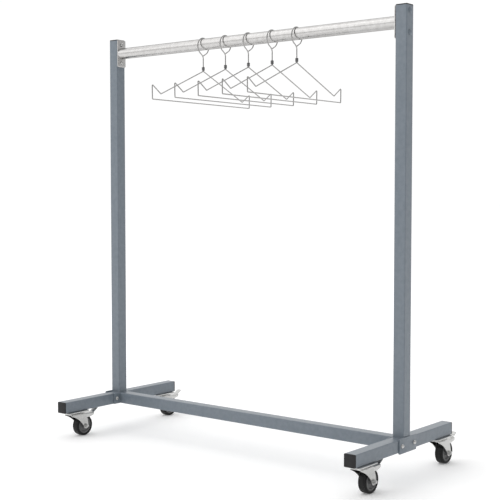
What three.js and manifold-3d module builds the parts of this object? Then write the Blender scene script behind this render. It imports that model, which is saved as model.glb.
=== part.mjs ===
// Rolling clothes rack: two tube side frames on four braked swivel casters, a bolted round
// hanging rail, a bolted bottom beam, and five wire hangers that slide on the rail.
// Millimetres, +Z up. X runs along the rail, Y runs along the feet. The floor is z = 0 and the
// origin is under the middle of the rack's outline.

import * as THREE from 'three';
import { mergeVertices } from 'three/addons/utils/BufferGeometryUtils.js';
import Module from 'manifold-3d';

const wasm = await Module();
wasm.setup();

// ---------------------------------------------------------------- driving dimensions

// Square tube frame
const postSpacing = 1240; // between the centre lines of the two posts
const rackHeight = 1460; // floor to the top of the post caps
const footLength = 580; // front cap face to rear cap face
const tubeSide = 40;
const tubeWall = 2;
const tubeCorner = 3;

// Round rail and its end flanges
const railDiameter = 40;
const railWall = 2;
const railDrop = 52; // post top to rail centre line
const flangeHeight = 100;
const flangeThickness = 4;
const flangeCorner = 5;
const flangeBoltSpacing = 66;

// Joint between each foot and the bottom beam
const jointPlateLength = 100;
const jointPlateThickness = 4;
const jointPadLip = 4; // joint pad above and below the foot tube
const weldOverlap = 1; // how far welded pieces are fused into each other
const jointBoltSpacing = 72;
const ventRadius = 4;

// Bolts and plastic caps
const boltRadius = 4;
const boltHeadRadius = 7;
const boltHeadHeight = 5;
const railBoltCapRadius = 9.5;
const beamBoltCapHeight = 6.5;
const headTaper = 0.6; // share of a bolt head's width that its flat top keeps
const headRim = 0.4; // share of a bolt head's height that its upright rim takes
const capHeadThickness = 4;
const postCapThickness = 3;
const capPlugDepth = 10;

// Casters
const wheelDiameter = 74;
const wheelWidth = 28;
const wheelTrail = 41; // swivel axis to axle
const headroom = 21; // top of the wheel to the underside of the foot
const casterInset = 60; // foot end to swivel axis
const casterPlateLength = 100;
const casterPlateWidth = 60;
const casterPlateThickness = 3;
const casterPlateCorner = 6;
const casterScrewSpacing = 72;
const casterScrewRadius = 3.8;
const casterScrewChamfer = 0.5;
const raceRadius = 22;
const raceHeight = 4;
const raceChamfer = 1.5;
const crownRadius = 28;
const crownHeight = 5;
const crownLip = 1; // crown's edge past the front of the legs
const kingpinRadius = 5;
const kingpinGap = 0.4;
const rivetRadius = 9;
const rivetHeight = 4;
const rivetTaper = 0.7; // share of the rivet's width that its flat end keeps
const rivetRim = 1;
const casterScrewHead = 6.5;
const casterScrewReach = 7; // past the inside of the tube wall
const forkSheet = 2.5;
const forkRearInset = 5; // axle to the rear edge of the fork's web
const forkFrontDrop = 3; // straight front edge below the crown
const forkFrontPull = [-33, 31]; // control point of the front edge's curve, from the axle
const forkRearPull = [10, 27]; // control point of the rear edge's curve, from the axle
const axleRadius = 4;
const axleEyeRadius = 11;
const axleHeadRadius = 7;
const axleHeadHeight = 6;
const axleThreadLength = 4;
const axleHeadChamfer = 1;
const tyreThickness = 9; // tread to the hub's rim
const hubBossRadius = 10;
const tyreShoulder = 3;
const tyreBead = 1.5; // how far the tyre's side draws in towards the rim
const hubFillet = 3; // boss to disc
const hubRimFillet = 2; // rim to disc
const hubRimDepth = 5; // rim's thickness at its root
const hubBossChamfer = 1;
const hubWeb = 6; // thickness of the disc between boss and rim
const hubRim = 25; // width of the rim across the wheel
const brakeSheet = 2.2;
const brakeTyreGap = 3.9; // deck underside above the tyre
const brakeSkirtSheet = 1.6;
const brakePinRadius = 2.5;
const brakePinEnd = 0.5; // past the outside of the fork
const brakePinOffset = 17; // swivel axis to brake pivot
const brakeReach = 84; // swivel axis to the root of the raised toe
const brakeToeLength = 26;
const brakeToeHalfWidth = 11;
const brakeToeGap = 2.5; // raised toe below the foot
const brakeToeSeat = 6; // toe laid over the deck
const brakeRootGap = 2; // kingpin rivet to the lever's root
const brakeSkirtStart = 6; // skirt depth at the root
const brakeSkirtDeep = 14; // skirt depth at its deepest
const brakeSkirtEnd = 8; // skirt depth at the toe
const brakeSkirtRun = 22; // deepest place to the toe

// Hangers
const hangerCount = 5;
const hangerPitch = 101.6;
const hangerRowCentre = 12;
const wireRadius = 2;
const hookRadius = 29; // wire centre line of the loop round the rail
const hookClosingAngle = 60; // degrees of the loop's circle left open above the stem
const stemLength = 44; // where the loop closes to the ferrule's middle
const stemBend = 10; // below the closing point, where the stem starts to bend
const stemHeadRadius = 3.6;
const stemHeadHeight = 3;
const stemInFerrule = 5;
const ferruleHeight = 12;
const ferruleWall = 0.8;
const ferruleRoof = 2.5;
const ferruleChamfer = 1.5;
const shoulderHalfWidth = 216;
const hangerHalfWidth = 258;
const shoulderDrop = 97; // ferrule mouth to notch
const notchRise = 29; // notch to raised tip
const tipDrop = 49; // raised tip to trouser bar
const tipLean = 1; // trouser bar's corner inside the raised tip
const wireBend = 4; // where each bend of the wire starts before its corner

// Clearances
const seatGap = 0.3; // between pieces that are bolted or pushed together
const boltGap = 0.3; // round a bolt or pin in its hole
const runningGap = 1; // beside parts that turn
const tyreSideGap = 2.5; // hub boss past the tyre's side
const brakeSideGap = 0.6; // brake skirts inside the fork legs
const loopGap = 0.4; // hook wire over the rail
const wireSpread = 0.25; // each shoulder wire off the hanger's middle
const mouthGap = 0.3; // shoulder wires in the ferrule's mouth
const stemGap = 0.35; // hook stem in the ferrule's hole
const wireEndGap = 1; // stem head to the shoulder wires' ends

// ---------------------------------------------------------------- sizes that follow

const half = tubeSide / 2;
const footBottom = wheelDiameter + headroom;
const footTop = footBottom + tubeSide;
const footMiddle = footBottom + half;
const postTop = rackHeight - postCapThickness;
const railHeight = rackHeight - railDrop;
const railRadius = railDiameter / 2;
const hubRimRadius = wheelDiameter / 2 - tyreThickness;
const ferruleMouthRadius = 2 * wireRadius + wireSpread + mouthGap;
const ferruleRadius = ferruleMouthRadius + ferruleWall;
const postInner = postSpacing / 2 - half;
const casterOffset = footLength / 2 - casterInset;
const forkInner = wheelWidth / 2 + tyreSideGap + runningGap;
const forkOuter = forkInner + forkSheet;
const forkFront = crownLip - crownRadius;
const forkRear = wheelTrail - forkRearInset;
const brakeToeTip = brakeReach + brakeToeLength;
const frontEdge = Math.max(footLength / 2, casterOffset + crownRadius);
const rearEdge = Math.max(footLength / 2, casterOffset + brakeToeTip);
const centreShift = (frontEdge - rearEdge) / 2;

// Caster levels above the floor
const plateTop = footBottom - seatGap;
const plateBottom = plateTop - casterPlateThickness;
const raceBottom = plateBottom - raceHeight;
const crownTop = raceBottom - seatGap;
const crownBottom = crownTop - crownHeight;
const rivetTop = crownBottom - seatGap;
const axleHeight = wheelDiameter / 2;
const brakeUnderside = wheelDiameter + brakeTyreGap;
const brakePinHeight = brakeUnderside + brakeSheet / 2;

// ---------------------------------------------------------------- finishes

const finish = (color, roughness, metalness) =>
  new THREE.MeshStandardMaterial({ color, roughness, metalness });

const finishes = {
  paint: () => finish(0x78828e, 0.45, 0.2),
  brushedSteel: () => finish(0xc9c7c4, 0.3, 1),
  zinc: () => finish(0xb9bab8, 0.35, 1),
  blackPlastic: () => finish(0x2c2d2f, 0.55, 0),
  rubber: () => finish(0x161718, 0.75, 0),
  hubPlastic: () => finish(0x6b6c6e, 0.5, 0),
  wire: () => finish(0xa3a19d, 0.3, 1),
  darkMetal: () => finish(0x4a4a4c, 0.4, 1),
};

// ---------------------------------------------------------------- geometry helpers

function toSolid(geometry) {
  const bare = geometry.clone();
  bare.deleteAttribute('normal');
  bare.deleteAttribute('uv');
  const merged = mergeVertices(bare, 1e-4);
  return new wasm.Manifold(new wasm.Mesh({
    numProp: 3,
    vertProperties: new Float32Array(merged.attributes.position.array),
    triVerts: new Uint32Array(merged.index.array),
  }));
}

function toGeometry(solid) {
  const mesh = solid.getMesh();
  const geometry = new THREE.BufferGeometry();
  geometry.setAttribute('position', new THREE.BufferAttribute(mesh.vertProperties, 3));
  geometry.setIndex(new THREE.BufferAttribute(mesh.triVerts, 1));
  geometry.computeVertexNormals();
  return geometry;
}

function join(...geometries) {
  const [first, ...rest] = geometries.map(toSolid);
  return toGeometry(rest.reduce((whole, piece) => whole.add(piece), first));
}

function cut(geometry, ...cutters) {
  const whole = toSolid(geometry);
  return toGeometry(cutters.map(toSolid).reduce((left, piece) => left.subtract(piece), whole));
}

function roundedRectangle(path, width, height, corner) {
  const x = width / 2;
  const y = height / 2;
  const quarter = Math.PI / 2;
  path.moveTo(x, -y + corner);
  path.lineTo(x, y - corner);
  path.absarc(x - corner, y - corner, corner, 0, quarter);
  path.lineTo(-x + corner, y);
  path.absarc(-x + corner, y - corner, corner, quarter, 2 * quarter);
  path.lineTo(-x, -y + corner);
  path.absarc(-x + corner, -y + corner, corner, 2 * quarter, 3 * quarter);
  path.lineTo(x - corner, -y);
  path.absarc(x - corner, -y + corner, corner, 3 * quarter, 4 * quarter);
  return path;
}

function extrude(shape, depth, curveSegments = 1) {
  return new THREE.ExtrudeGeometry(shape, { depth, curveSegments, bevelEnabled: false });
}

// A plate lying in XY with rounded corners, its underside at z = 0.
function plate(width, height, corner, thickness) {
  return extrude(roundedRectangle(new THREE.Shape(), width, height, corner), thickness);
}

// A square tube standing on z = 0, open at both ends.
function squareTube(length) {
  const shape = roundedRectangle(new THREE.Shape(), tubeSide, tubeSide, tubeCorner);
  const bore = tubeSide - 2 * tubeWall;
  shape.holes.push(roundedRectangle(new THREE.Path(), bore, bore, tubeCorner - tubeWall / 2));
  return extrude(shape, length);
}

// A turned piece: profile points are [radius, distance along the axis], the axis is +Z.
function turned(profile, segments) {
  const points = profile.map(([radius, along]) => new THREE.Vector2(radius, along));
  return new THREE.LatheGeometry(points, segments).rotateX(Math.PI / 2);
}

function rod(radius, start, end, segments = 12) {
  return turned([[0, start], [radius, start], [radius, end], [0, end]], segments);
}

// A rod along X, for bolt holes and axle bores.
function rodAlongX(radius, start, end, y, z, segments = 10) {
  return rod(radius, start, end, segments).rotateY(Math.PI / 2).translate(0, y, z);
}

// Turns a shape drawn in XY to stand in YZ, with its thickness along +X.
function upright(geometry) {
  return geometry.applyMatrix4(new THREE.Matrix4().makeBasis(
    new THREE.Vector3(0, 1, 0), new THREE.Vector3(0, 0, 1), new THREE.Vector3(1, 0, 0)));
}

// A flat sheet whose outline is drawn in YZ and whose thickness runs from x = start to x = end.
function sheetAcrossX(shape, start, end, curveSegments = 3) {
  return upright(extrude(shape, end - start, curveSegments)).translate(start, 0, 0);
}

function outline(points) {
  return new THREE.Shape(points.map(([y, z]) => new THREE.Vector2(y, z)));
}

// A wire's centre line through exact points in the YZ plane, one cross-section at each point.
class BentWire extends THREE.Curve {
  constructor(points) {
    super();
    this.points = points.map(([y, z]) => new THREE.Vector3(0, y, z));
  }

  getPointAt(u, target = new THREE.Vector3()) {
    return target.copy(this.points[Math.round(u * this.spans)]);
  }

  getTangentAt(u, target = new THREE.Vector3()) {
    const at = Math.round(u * this.spans);
    const last = this.points[Math.max(at - 1, 0)];
    const next = this.points[Math.min(at + 1, this.spans)];
    const here = this.points[at];
    const arriving = here.clone().sub(last).normalize();
    const leaving = next.clone().sub(here).normalize();
    return target.copy(arriving.add(leaving)).normalize();
  }

  get spans() {
    return this.points.length - 1;
  }

  sweep(radius) {
    const section = new THREE.Shape().absarc(0, 0, radius, 0, 2 * Math.PI);
    return new THREE.ExtrudeGeometry(section, { extrudePath: this, steps: this.spans, curveSegments: 3 });
  }
}

// Replaces each inner corner of a path with a short curve that starts `reach` before it.
function softenCorners(corners, reach, steps = 3) {
  const points = [corners[0]];
  for (let i = 1; i < corners.length - 1; i += 1) {
    const corner = new THREE.Vector2(...corners[i]);
    const towards = (other) => new THREE.Vector2(...other).sub(corner).setLength(reach).add(corner);
    const bend = new THREE.QuadraticBezierCurve(towards(corners[i - 1]), corner, towards(corners[i + 1]));
    points.push(...bend.getPoints(steps).map((point) => point.toArray()));
  }
  points.push(corners[corners.length - 1]);
  return points;
}

function part(name, geometry, material, x = 0, y = 0, z = 0) {
  const mesh = new THREE.Mesh(geometry, material);
  mesh.name = name;
  mesh.position.set(x, y, z);
  return mesh;
}

function groupAt(x, y, z, ...children) {
  const group = new THREE.Group();
  group.position.set(x, y, z);
  group.add(...children);
  return group;
}

// ---------------------------------------------------------------- frame

// A tube cap: a head that covers the tube end, and a plug below it that fits the bore.
function tubeCap(headThickness) {
  const plugSide = tubeSide - 2 * tubeWall - 2 * seatGap;
  const plug = plate(plugSide, plugSide, tubeCorner - tubeWall / 2, capPlugDepth + headThickness / 2);
  return join(
    plate(tubeSide, tubeSide, tubeCorner, headThickness),
    plug.translate(0, 0, -capPlugDepth),
  );
}

function post(name) {
  const length = postTop - footTop - 2 * seatGap;
  const boltHoles = [1, -1].map((end) => rodAlongX(
    boltRadius + boltGap, -tubeSide, tubeSide,
    0, railHeight + end * flangeBoltSpacing / 2 - footTop - seatGap));
  return part(name, cut(squareTube(length), ...boltHoles), finishes.paint(), 0, 0, footTop + seatGap);
}

// The foot tube lies along Y. `outward` is +1 or -1, the side that carries the joint pad. The pad
// stands clear of the post and is fused to the tube by a weld seam behind it.
function foot(name, outward) {
  const length = footLength - 2 * (capHeadThickness + seatGap);
  const tube = squareTube(length).translate(0, 0, -length / 2).rotateX(Math.PI / 2);
  const padHeight = tubeSide + 2 * jointPadLip;
  const face = plate(jointPlateLength, padHeight, tubeCorner, jointPlateThickness - seatGap);
  const seamLength = jointPlateLength - 2 * tubeCorner;
  const seam = plate(seamLength, tubeSide - 2 * tubeCorner, weldOverlap, 2 * weldOverlap);
  const pad = join(
    upright(face).translate(half + seatGap, 0, 0),
    upright(seam).translate(half - weldOverlap, 0, 0),
  );
  if (outward < 0) pad.rotateZ(Math.PI);
  const beamBoltHoles = [1, -1].map((end) => rodAlongX(
    boltRadius + boltGap, -tubeSide, tubeSide, end * jointBoltSpacing / 2, 0));
  const casterScrewHoles = [1, -1].flatMap((end) => [1, -1].map((side) => rod(
    casterScrewRadius + boltGap, -half - tubeWall, -half + 2 * tubeWall)
    .translate(0, end * casterOffset + side * casterScrewSpacing / 2, 0)));
  const geometry = cut(join(tube, pad), ...beamBoltHoles, ...casterScrewHoles);
  return part(name, geometry, finishes.paint(), 0, 0, footMiddle);
}

function footCap(name, end) {
  const cap = part(name, tubeCap(capHeadThickness), finishes.blackPlastic());
  cap.rotation.x = -end * Math.PI / 2;
  cap.position.set(0, end * (footLength / 2 - capHeadThickness), footMiddle);
  return cap;
}

function bottomBeam() {
  const length = 2 * (postInner - seatGap);
  const tube = squareTube(length - jointPlateThickness).translate(0, 0, (jointPlateThickness - length) / 2)
    .rotateY(Math.PI / 2);
  const ends = [1, -1].map((end) => plate(jointPlateLength, tubeSide, tubeCorner, jointPlateThickness)
    .rotateZ(Math.PI / 2)
    .rotateY(end * Math.PI / 2)
    .translate(end * (length / 2 - jointPlateThickness), 0, 0));
  const holes = [1, 0, -1].map((end) => rodAlongX(
    end === 0 ? ventRadius : boltRadius + boltGap, -length, length, end * jointBoltSpacing / 2, 0));
  return part('bottom_beam', cut(join(tube, ...ends), ...holes), finishes.paint(), 0, 0, footMiddle);
}

function hangingRail() {
  const length = 2 * (postInner - seatGap);
  const weld = flangeThickness / 2;
  const bore = railRadius - railWall;
  const reach = length / 2 - weld;
  const tube = turned(
    [[bore, -reach], [railRadius, -reach], [railRadius, reach], [bore, reach], [bore, -reach]], 28)
    .rotateY(Math.PI / 2);
  const flanges = [1, -1].map((end) => plate(flangeHeight, tubeSide, flangeCorner, flangeThickness)
    .rotateY(end * Math.PI / 2)
    .translate(end * (length / 2 - flangeThickness), 0, 0));
  const holes = [1, 0, -1].map((end) => rodAlongX(
    end === 0 ? ventRadius : boltRadius + boltGap, -length, length, 0, end * flangeBoltSpacing / 2));
  const geometry = cut(join(tube, ...flanges), ...holes);
  return part('hanging_rail', geometry, finishes.brushedSteel(), 0, 0, railHeight);
}

// A bolt along +X: a round head inside, a shank, and a domed cap nut outside.
function throughBolt(headRadius, headHeight, grip, nutRadius, nutHeight) {
  return turned([
    [0, -headHeight], [headRadius * headTaper, -headHeight], [headRadius, -headHeight * headRim],
    [headRadius, 0], [boltRadius, 0], [boltRadius, grip],
    [nutRadius, grip], [nutRadius, grip + nutHeight * headRim], [nutRadius * headTaper, grip + nutHeight],
    [0, grip + nutHeight],
  ], 10).rotateY(Math.PI / 2);
}

function boltAt(name, outward, start, bolt, y, z) {
  const mesh = part(name, bolt, finishes.zinc(), outward * start, y, z);
  if (outward < 0) mesh.rotation.z = Math.PI;
  return mesh;
}

function railBolts(side, outward) {
  const start = -half - seatGap - flangeThickness - seatGap;
  const grip = half + seatGap - start;
  return [['upper', 1], ['lower', -1]].map(([place, end]) => boltAt(
    `${side}_rail_bolt_${place}`, outward, start,
    throughBolt(boltHeadRadius, boltHeadHeight, grip, railBoltCapRadius, boltHeadHeight),
    0, railHeight + end * flangeBoltSpacing / 2));
}

function beamBolts(side, outward) {
  const start = -half - seatGap - jointPlateThickness - seatGap;
  const grip = half + jointPlateThickness + seatGap - start;
  return [['front', -1], ['rear', 1]].map(([place, end]) => boltAt(
    `${side}_beam_bolt_${place}`, outward, start,
    throughBolt(boltHeadRadius, boltHeadHeight, grip, boltHeadRadius, beamBoltCapHeight),
    end * jointBoltSpacing / 2, footMiddle));
}

function sideFrame(side, outward) {
  return groupAt(
    outward * postSpacing / 2, 0, 0,
    post(`${side}_post`),
    part(`${side}_post_cap`, tubeCap(postCapThickness), finishes.blackPlastic(), 0, 0, postTop),
    foot(`${side}_foot`, outward),
    footCap(`${side}_front_foot_cap`, -1),
    footCap(`${side}_rear_foot_cap`, 1),
    ...railBolts(side, outward),
    ...beamBolts(side, outward),
  );
}

// ---------------------------------------------------------------- casters
// Each caster is built about its swivel axis, with the floor at z = 0 and the wheel trailing to +Y.

function casterPlate(name) {
  const screwEnd = casterPlateThickness + tubeWall + casterScrewReach;
  const screw = turned([
    [0, -casterScrewHead / 2], [casterScrewHead - casterScrewChamfer, -casterScrewHead / 2],
    [casterScrewHead, weldOverlap / 2], [casterScrewRadius, weldOverlap / 2],
    [casterScrewRadius, screwEnd], [0, screwEnd],
  ], 8);
  const screws = [1, -1].map((end) => screw.clone()
    .translate(0, end * casterScrewSpacing / 2, plateBottom));
  const rivetBottom = rivetTop - rivetHeight;
  const kingpin = turned([
    [0, rivetBottom], [rivetRadius * rivetTaper, rivetBottom], [rivetRadius, rivetTop - rivetRim],
    [rivetRadius, rivetTop], [kingpinRadius, rivetTop], [kingpinRadius, raceBottom],
    [raceRadius - raceChamfer, raceBottom], [raceRadius, raceBottom + raceChamfer],
    [raceRadius, plateBottom + weldOverlap], [0, plateBottom + weldOverlap],
  ], 16);
  const base = plate(casterPlateWidth, casterPlateLength, casterPlateCorner, casterPlateThickness)
    .translate(0, 0, plateBottom);
  return part(name, join(base, kingpin, ...screws), finishes.zinc());
}

// One fork leg seen from the side: it sweeps back from the crown to a round eye at the axle.
function forkLeg() {
  const leg = new THREE.Shape();
  const top = crownBottom + forkSheet;
  leg.moveTo(forkFront, top);
  leg.lineTo(forkFront, crownBottom - forkFrontDrop);
  leg.quadraticCurveTo(
    wheelTrail + forkFrontPull[0], axleHeight + forkFrontPull[1], wheelTrail - axleEyeRadius, axleHeight);
  leg.absarc(wheelTrail, axleHeight, axleEyeRadius, Math.PI, 2 * Math.PI);
  leg.quadraticCurveTo(wheelTrail + forkRearPull[0], axleHeight + forkRearPull[1], forkRear, top);
  return leg;
}

function fork(name) {
  const crown = rod(crownRadius, crownBottom, crownTop, 20);
  const webLength = forkRear - forkFront;
  const web = plate(2 * forkOuter, webLength, crownLip, forkSheet)
    .translate(0, (forkFront + forkRear) / 2, crownBottom);
  const legs = [-forkOuter, forkInner].map((start) => sheetAcrossX(forkLeg(), start, start + forkSheet));
  const bores = [
    rod(kingpinRadius + kingpinGap, crownBottom - forkSheet, crownTop + forkSheet),
    rodAlongX(axleRadius + boltGap, -2 * forkOuter, 2 * forkOuter, wheelTrail, axleHeight),
    rodAlongX(brakePinRadius + boltGap, -2 * forkOuter, 2 * forkOuter, brakePinOffset, brakePinHeight),
  ];
  return part(name, cut(join(crown, web, ...legs), ...bores), finishes.zinc());
}

// The brake lever: a channel over the wheel, hinged on a cross pin, with a raised toe.
function brakeLever(name) {
  const top = brakeUnderside + brakeSheet;
  const toeTop = footBottom - brakeToeGap;
  const skirtOuter = forkInner - brakeSideGap;
  const skirtInner = skirtOuter - brakeSkirtSheet;
  const root = rivetRadius + brakeRootGap;
  const deck = sheetAcrossX(outline([
    [root, brakeUnderside], [brakeReach, brakeUnderside], [brakeReach, top], [root, top],
  ]), -skirtOuter, skirtOuter);
  const toe = sheetAcrossX(outline([
    [brakeReach - brakeToeSeat, brakeUnderside], [brakeReach + 1, brakeUnderside],
    [brakeToeTip, toeTop - brakeSheet], [brakeToeTip, toeTop],
    [brakeReach - 1, top], [brakeReach - brakeToeSeat, top],
  ]), -brakeToeHalfWidth, brakeToeHalfWidth);
  const skirt = outline([
    [root, top], [root, top - brakeSkirtStart], [brakeReach - brakeSkirtRun, top - brakeSkirtDeep],
    [brakeReach, top - brakeSkirtEnd], [brakeReach, top],
  ]);
  const skirts = [-skirtOuter, skirtInner].map((start) => sheetAcrossX(
    skirt, start, start + brakeSkirtSheet));
  const pinReach = forkOuter + brakePinEnd;
  const pin = rodAlongX(brakePinRadius, -pinReach, pinReach, brakePinOffset, brakePinHeight, 12);
  return part(name, join(deck, toe, pin, ...skirts), finishes.zinc());
}

// Wheel pieces are turned about their own centre, with the axle along X.
function wheelHub(name) {
  const boss = forkInner - runningGap;
  const rim = hubRim / 2;
  const web = hubWeb / 2;
  const bore = axleRadius + boltGap;
  const face = [
    [bore, boss], [hubBossRadius - hubBossChamfer, boss], [hubBossRadius, web + hubFillet],
    [hubRimRadius - hubRimDepth, web + hubRimFillet], [hubRimRadius - hubRimFillet, rim],
    [hubRimRadius, rim],
  ];
  const back = face.map(([radius, along]) => [radius, -along]);
  return part(name, turned([...back, ...face.reverse(), back[0]], 20).rotateY(Math.PI / 2),
    finishes.hubPlastic());
}

function tyre(name) {
  const outer = wheelDiameter / 2;
  const inner = hubRimRadius + seatGap;
  const side = wheelWidth / 2;
  const rounding = tyreShoulder / 3;
  const face = [
    [inner, side - tyreBead], [outer - tyreShoulder, side], [outer - rounding, side - rounding],
    [outer, side - tyreShoulder],
  ];
  const back = face.map(([radius, along]) => [radius, -along]);
  return part(name, turned([...back, ...face.reverse(), back[0]], 28).rotateY(Math.PI / 2),
    finishes.rubber());
}

function axleBolt(name) {
  const face = forkOuter + seatGap;
  const nutFace = face + axleHeadHeight;
  return part(name, turned([
    [0, -nutFace], [axleHeadRadius - axleHeadChamfer, -nutFace],
    [axleHeadRadius, axleHeadChamfer - nutFace], [axleHeadRadius, -face],
    [axleRadius, -face], [axleRadius, face], [axleHeadRadius, face], [axleHeadRadius, nutFace],
    [axleRadius, nutFace], [axleRadius, nutFace + axleThreadLength], [0, nutFace + axleThreadLength],
  ], 12).rotateY(Math.PI / 2), finishes.zinc());
}

function caster(place, x, y) {
  const name = (piece) => `${place}_caster_${piece}`;
  return groupAt(
    x, y, 0,
    casterPlate(name('plate')),
    fork(name('fork')),
    brakeLever(name('brake')),
    groupAt(0, wheelTrail, axleHeight, wheelHub(name('hub')), tyre(name('tyre')), axleBolt(name('axle'))),
  );
}

// ---------------------------------------------------------------- hangers
// Each hanger is built about the rail's centre line, in the YZ plane.

const loopCentre = railRadius + loopGap + wireRadius - hookRadius;
const leavingAngle = THREE.MathUtils.degToRad(90 - hookClosingAngle / 2);
const loopFoot = [hookRadius * Math.cos(leavingAngle), loopCentre - hookRadius * Math.sin(leavingAngle)];
const loopClose = loopFoot[1] - loopFoot[0] * Math.cos(leavingAngle) / Math.sin(leavingAngle);
const ferruleTop = loopClose - stemLength + ferruleHeight / 2;
const ferruleMouth = ferruleTop - ferruleHeight;

// The hook: a stem with a head in the ferrule, and a loop that closes round the rail.
function hook(name) {
  const stemFoot = ferruleTop - stemInFerrule;
  const bend = new THREE.QuadraticBezierCurve(
    new THREE.Vector2(0, loopClose - stemBend), new THREE.Vector2(0, loopClose),
    new THREE.Vector2(-loopFoot[0], loopFoot[1]));
  const turns = 20;
  const sweepAngle = Math.PI + 2 * leavingAngle;
  const loop = Array.from({ length: turns }, (_, i) => {
    const angle = Math.PI + leavingAngle - (i + 1) * sweepAngle / turns;
    return [hookRadius * Math.cos(angle), loopCentre + hookRadius * Math.sin(angle)];
  });
  const tip = [wireRadius / 5, loopClose + wireRadius / 8];
  const wire = new BentWire([
    [0, stemFoot], ...bend.getPoints(5).map((point) => point.toArray()), ...loop, tip,
  ]).sweep(wireRadius);
  const head = rod(stemHeadRadius, stemFoot - stemHeadHeight / 3, stemFoot + stemHeadHeight * 2 / 3, 12);
  return part(name, join(wire, head), finishes.wire());
}

// The ferrule: a sleeve with a small hole on top for the stem and a wide mouth for both wire ends.
function ferrule(name) {
  const roof = ferruleTop - ferruleRoof;
  const hole = wireRadius + stemGap;
  return part(name, turned([
    [ferruleMouthRadius, ferruleMouth], [ferruleRadius, ferruleMouth],
    [ferruleRadius, ferruleTop - ferruleChamfer], [ferruleRadius - ferruleChamfer, ferruleTop],
    [hole, ferruleTop], [hole, roof], [ferruleMouthRadius, roof], [ferruleMouthRadius, ferruleMouth],
  ], 12), finishes.darkMetal());
}

// The shoulders and trouser bar: one wire, bent at the ferrule, notch, raised tip and bar corner.
function hangerFrame(name) {
  const start = wireRadius + wireSpread;
  const notch = ferruleMouth - shoulderDrop;
  const side = [
    [start, ferruleTop - stemInFerrule - stemHeadHeight / 3 - wireEndGap],
    [start, ferruleMouth - wireBend],
    [shoulderHalfWidth, notch],
    [hangerHalfWidth, notch + notchRise],
    [hangerHalfWidth - tipLean, notch + notchRise - tipDrop],
  ];
  const mirrored = side.map(([y, z]) => [-y, z]).reverse();
  const wire = new BentWire(softenCorners([...side, ...mirrored], wireBend)).sweep(wireRadius);
  return part(name, wire, finishes.wire());
}

function hanger(number) {
  const x = hangerRowCentre + (number - (hangerCount + 1) / 2) * hangerPitch;
  const name = (piece) => `hanger_${number}_${piece}`;
  return groupAt(
    x, 0, railHeight,
    hook(name('hook')),
    ferrule(name('ferrule')),
    hangerFrame(name('frame')),
  );
}

// ---------------------------------------------------------------- assembly

const group = groupAt(
  0, centreShift, 0,
  sideFrame('left', -1),
  sideFrame('right', 1),
  bottomBeam(),
  hangingRail(),
  caster('front_left', -postSpacing / 2, -casterOffset),
  caster('front_right', postSpacing / 2, -casterOffset),
  caster('rear_left', -postSpacing / 2, casterOffset),
  caster('rear_right', postSpacing / 2, casterOffset),
  ...Array.from({ length: hangerCount }, (_, i) => hanger(i + 1)),
);

export default group;
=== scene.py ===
"""Looks of a rolling clothes rack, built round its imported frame."""

import logging
import math
from collections.abc import Callable, Sequence
from dataclasses import dataclass, field
from enum import Enum
from typing import Any

import bmesh
import bpy
from mathutils import Matrix, Vector


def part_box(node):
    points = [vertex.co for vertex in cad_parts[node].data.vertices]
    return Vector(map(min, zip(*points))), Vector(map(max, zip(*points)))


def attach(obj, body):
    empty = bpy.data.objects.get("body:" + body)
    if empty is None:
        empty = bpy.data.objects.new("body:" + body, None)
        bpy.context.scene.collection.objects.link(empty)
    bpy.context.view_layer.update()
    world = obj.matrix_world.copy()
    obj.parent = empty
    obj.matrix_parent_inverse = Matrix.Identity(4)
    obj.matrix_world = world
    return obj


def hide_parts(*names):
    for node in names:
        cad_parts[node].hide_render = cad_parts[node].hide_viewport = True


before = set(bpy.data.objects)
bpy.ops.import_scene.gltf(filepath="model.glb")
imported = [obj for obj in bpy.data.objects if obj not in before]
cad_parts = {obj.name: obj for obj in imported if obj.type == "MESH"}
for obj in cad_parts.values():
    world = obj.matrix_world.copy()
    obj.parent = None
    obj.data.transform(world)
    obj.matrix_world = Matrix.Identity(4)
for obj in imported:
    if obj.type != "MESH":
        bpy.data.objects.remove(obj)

LOG = logging.getLogger("clothes_rack")
MM = 0.001
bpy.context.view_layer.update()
ROOT_BODY = "rack_frame"
SMOOTH_ANGLE = math.radians(32)

Point2 = tuple[float, float]
Colour = tuple[float, float, float]


class Side(Enum):
    """The two side frames, with the way each one faces outwards along X."""

    LEFT = ("left", -1)
    RIGHT = ("right", 1)

    @property
    def label(self) -> str:
        """The side's word in node names."""
        return self.value[0]

    @property
    def outward(self) -> int:
        """The sign of X on the outside."""
        return self.value[1]


class Place(Enum):
    """The four casters."""

    FRONT_LEFT = "front_left"
    FRONT_RIGHT = "front_right"
    REAR_LEFT = "rear_left"
    REAR_RIGHT = "rear_right"


class Axis(Enum):
    """A direction that a piece made along Z is laid on, by the rows of its turn."""

    X = ((0, 0, 1, 0), (1, 0, 0, 0), (0, 1, 0, 0), (0, 0, 0, 1))
    Y = ((1, 0, 0, 0), (0, 0, 1, 0), (0, -1, 0, 0), (0, 0, 0, 1))

    @property
    def turn(self) -> Matrix:
        """The turn from Z to this axis."""
        return Matrix(self.value)


@dataclass(frozen=True)
class Box:
    """A CAD node's box at rest."""

    low: Vector
    high: Vector

    @classmethod
    def of(cls, node: str) -> "Box":
        """The box of a CAD node, by name."""
        return cls(*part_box(node))

    @property
    def centre(self) -> Vector:
        """The middle of the box."""
        return (self.low + self.high) / 2

    @property
    def size(self) -> Vector:
        """The box's three lengths."""
        return self.high - self.low


# ------------------------------------------------------------------ places and curves


def at(x: float, y: float, z: float) -> Matrix:
    """A move to a point."""
    return Matrix.Translation((x, y, z))


def quarter_turns(count: int, axis: str) -> Matrix:
    """A turn about an axis by a number of right angles."""
    return Matrix.Rotation(math.pi / 2 * count, 4, axis)


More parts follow.
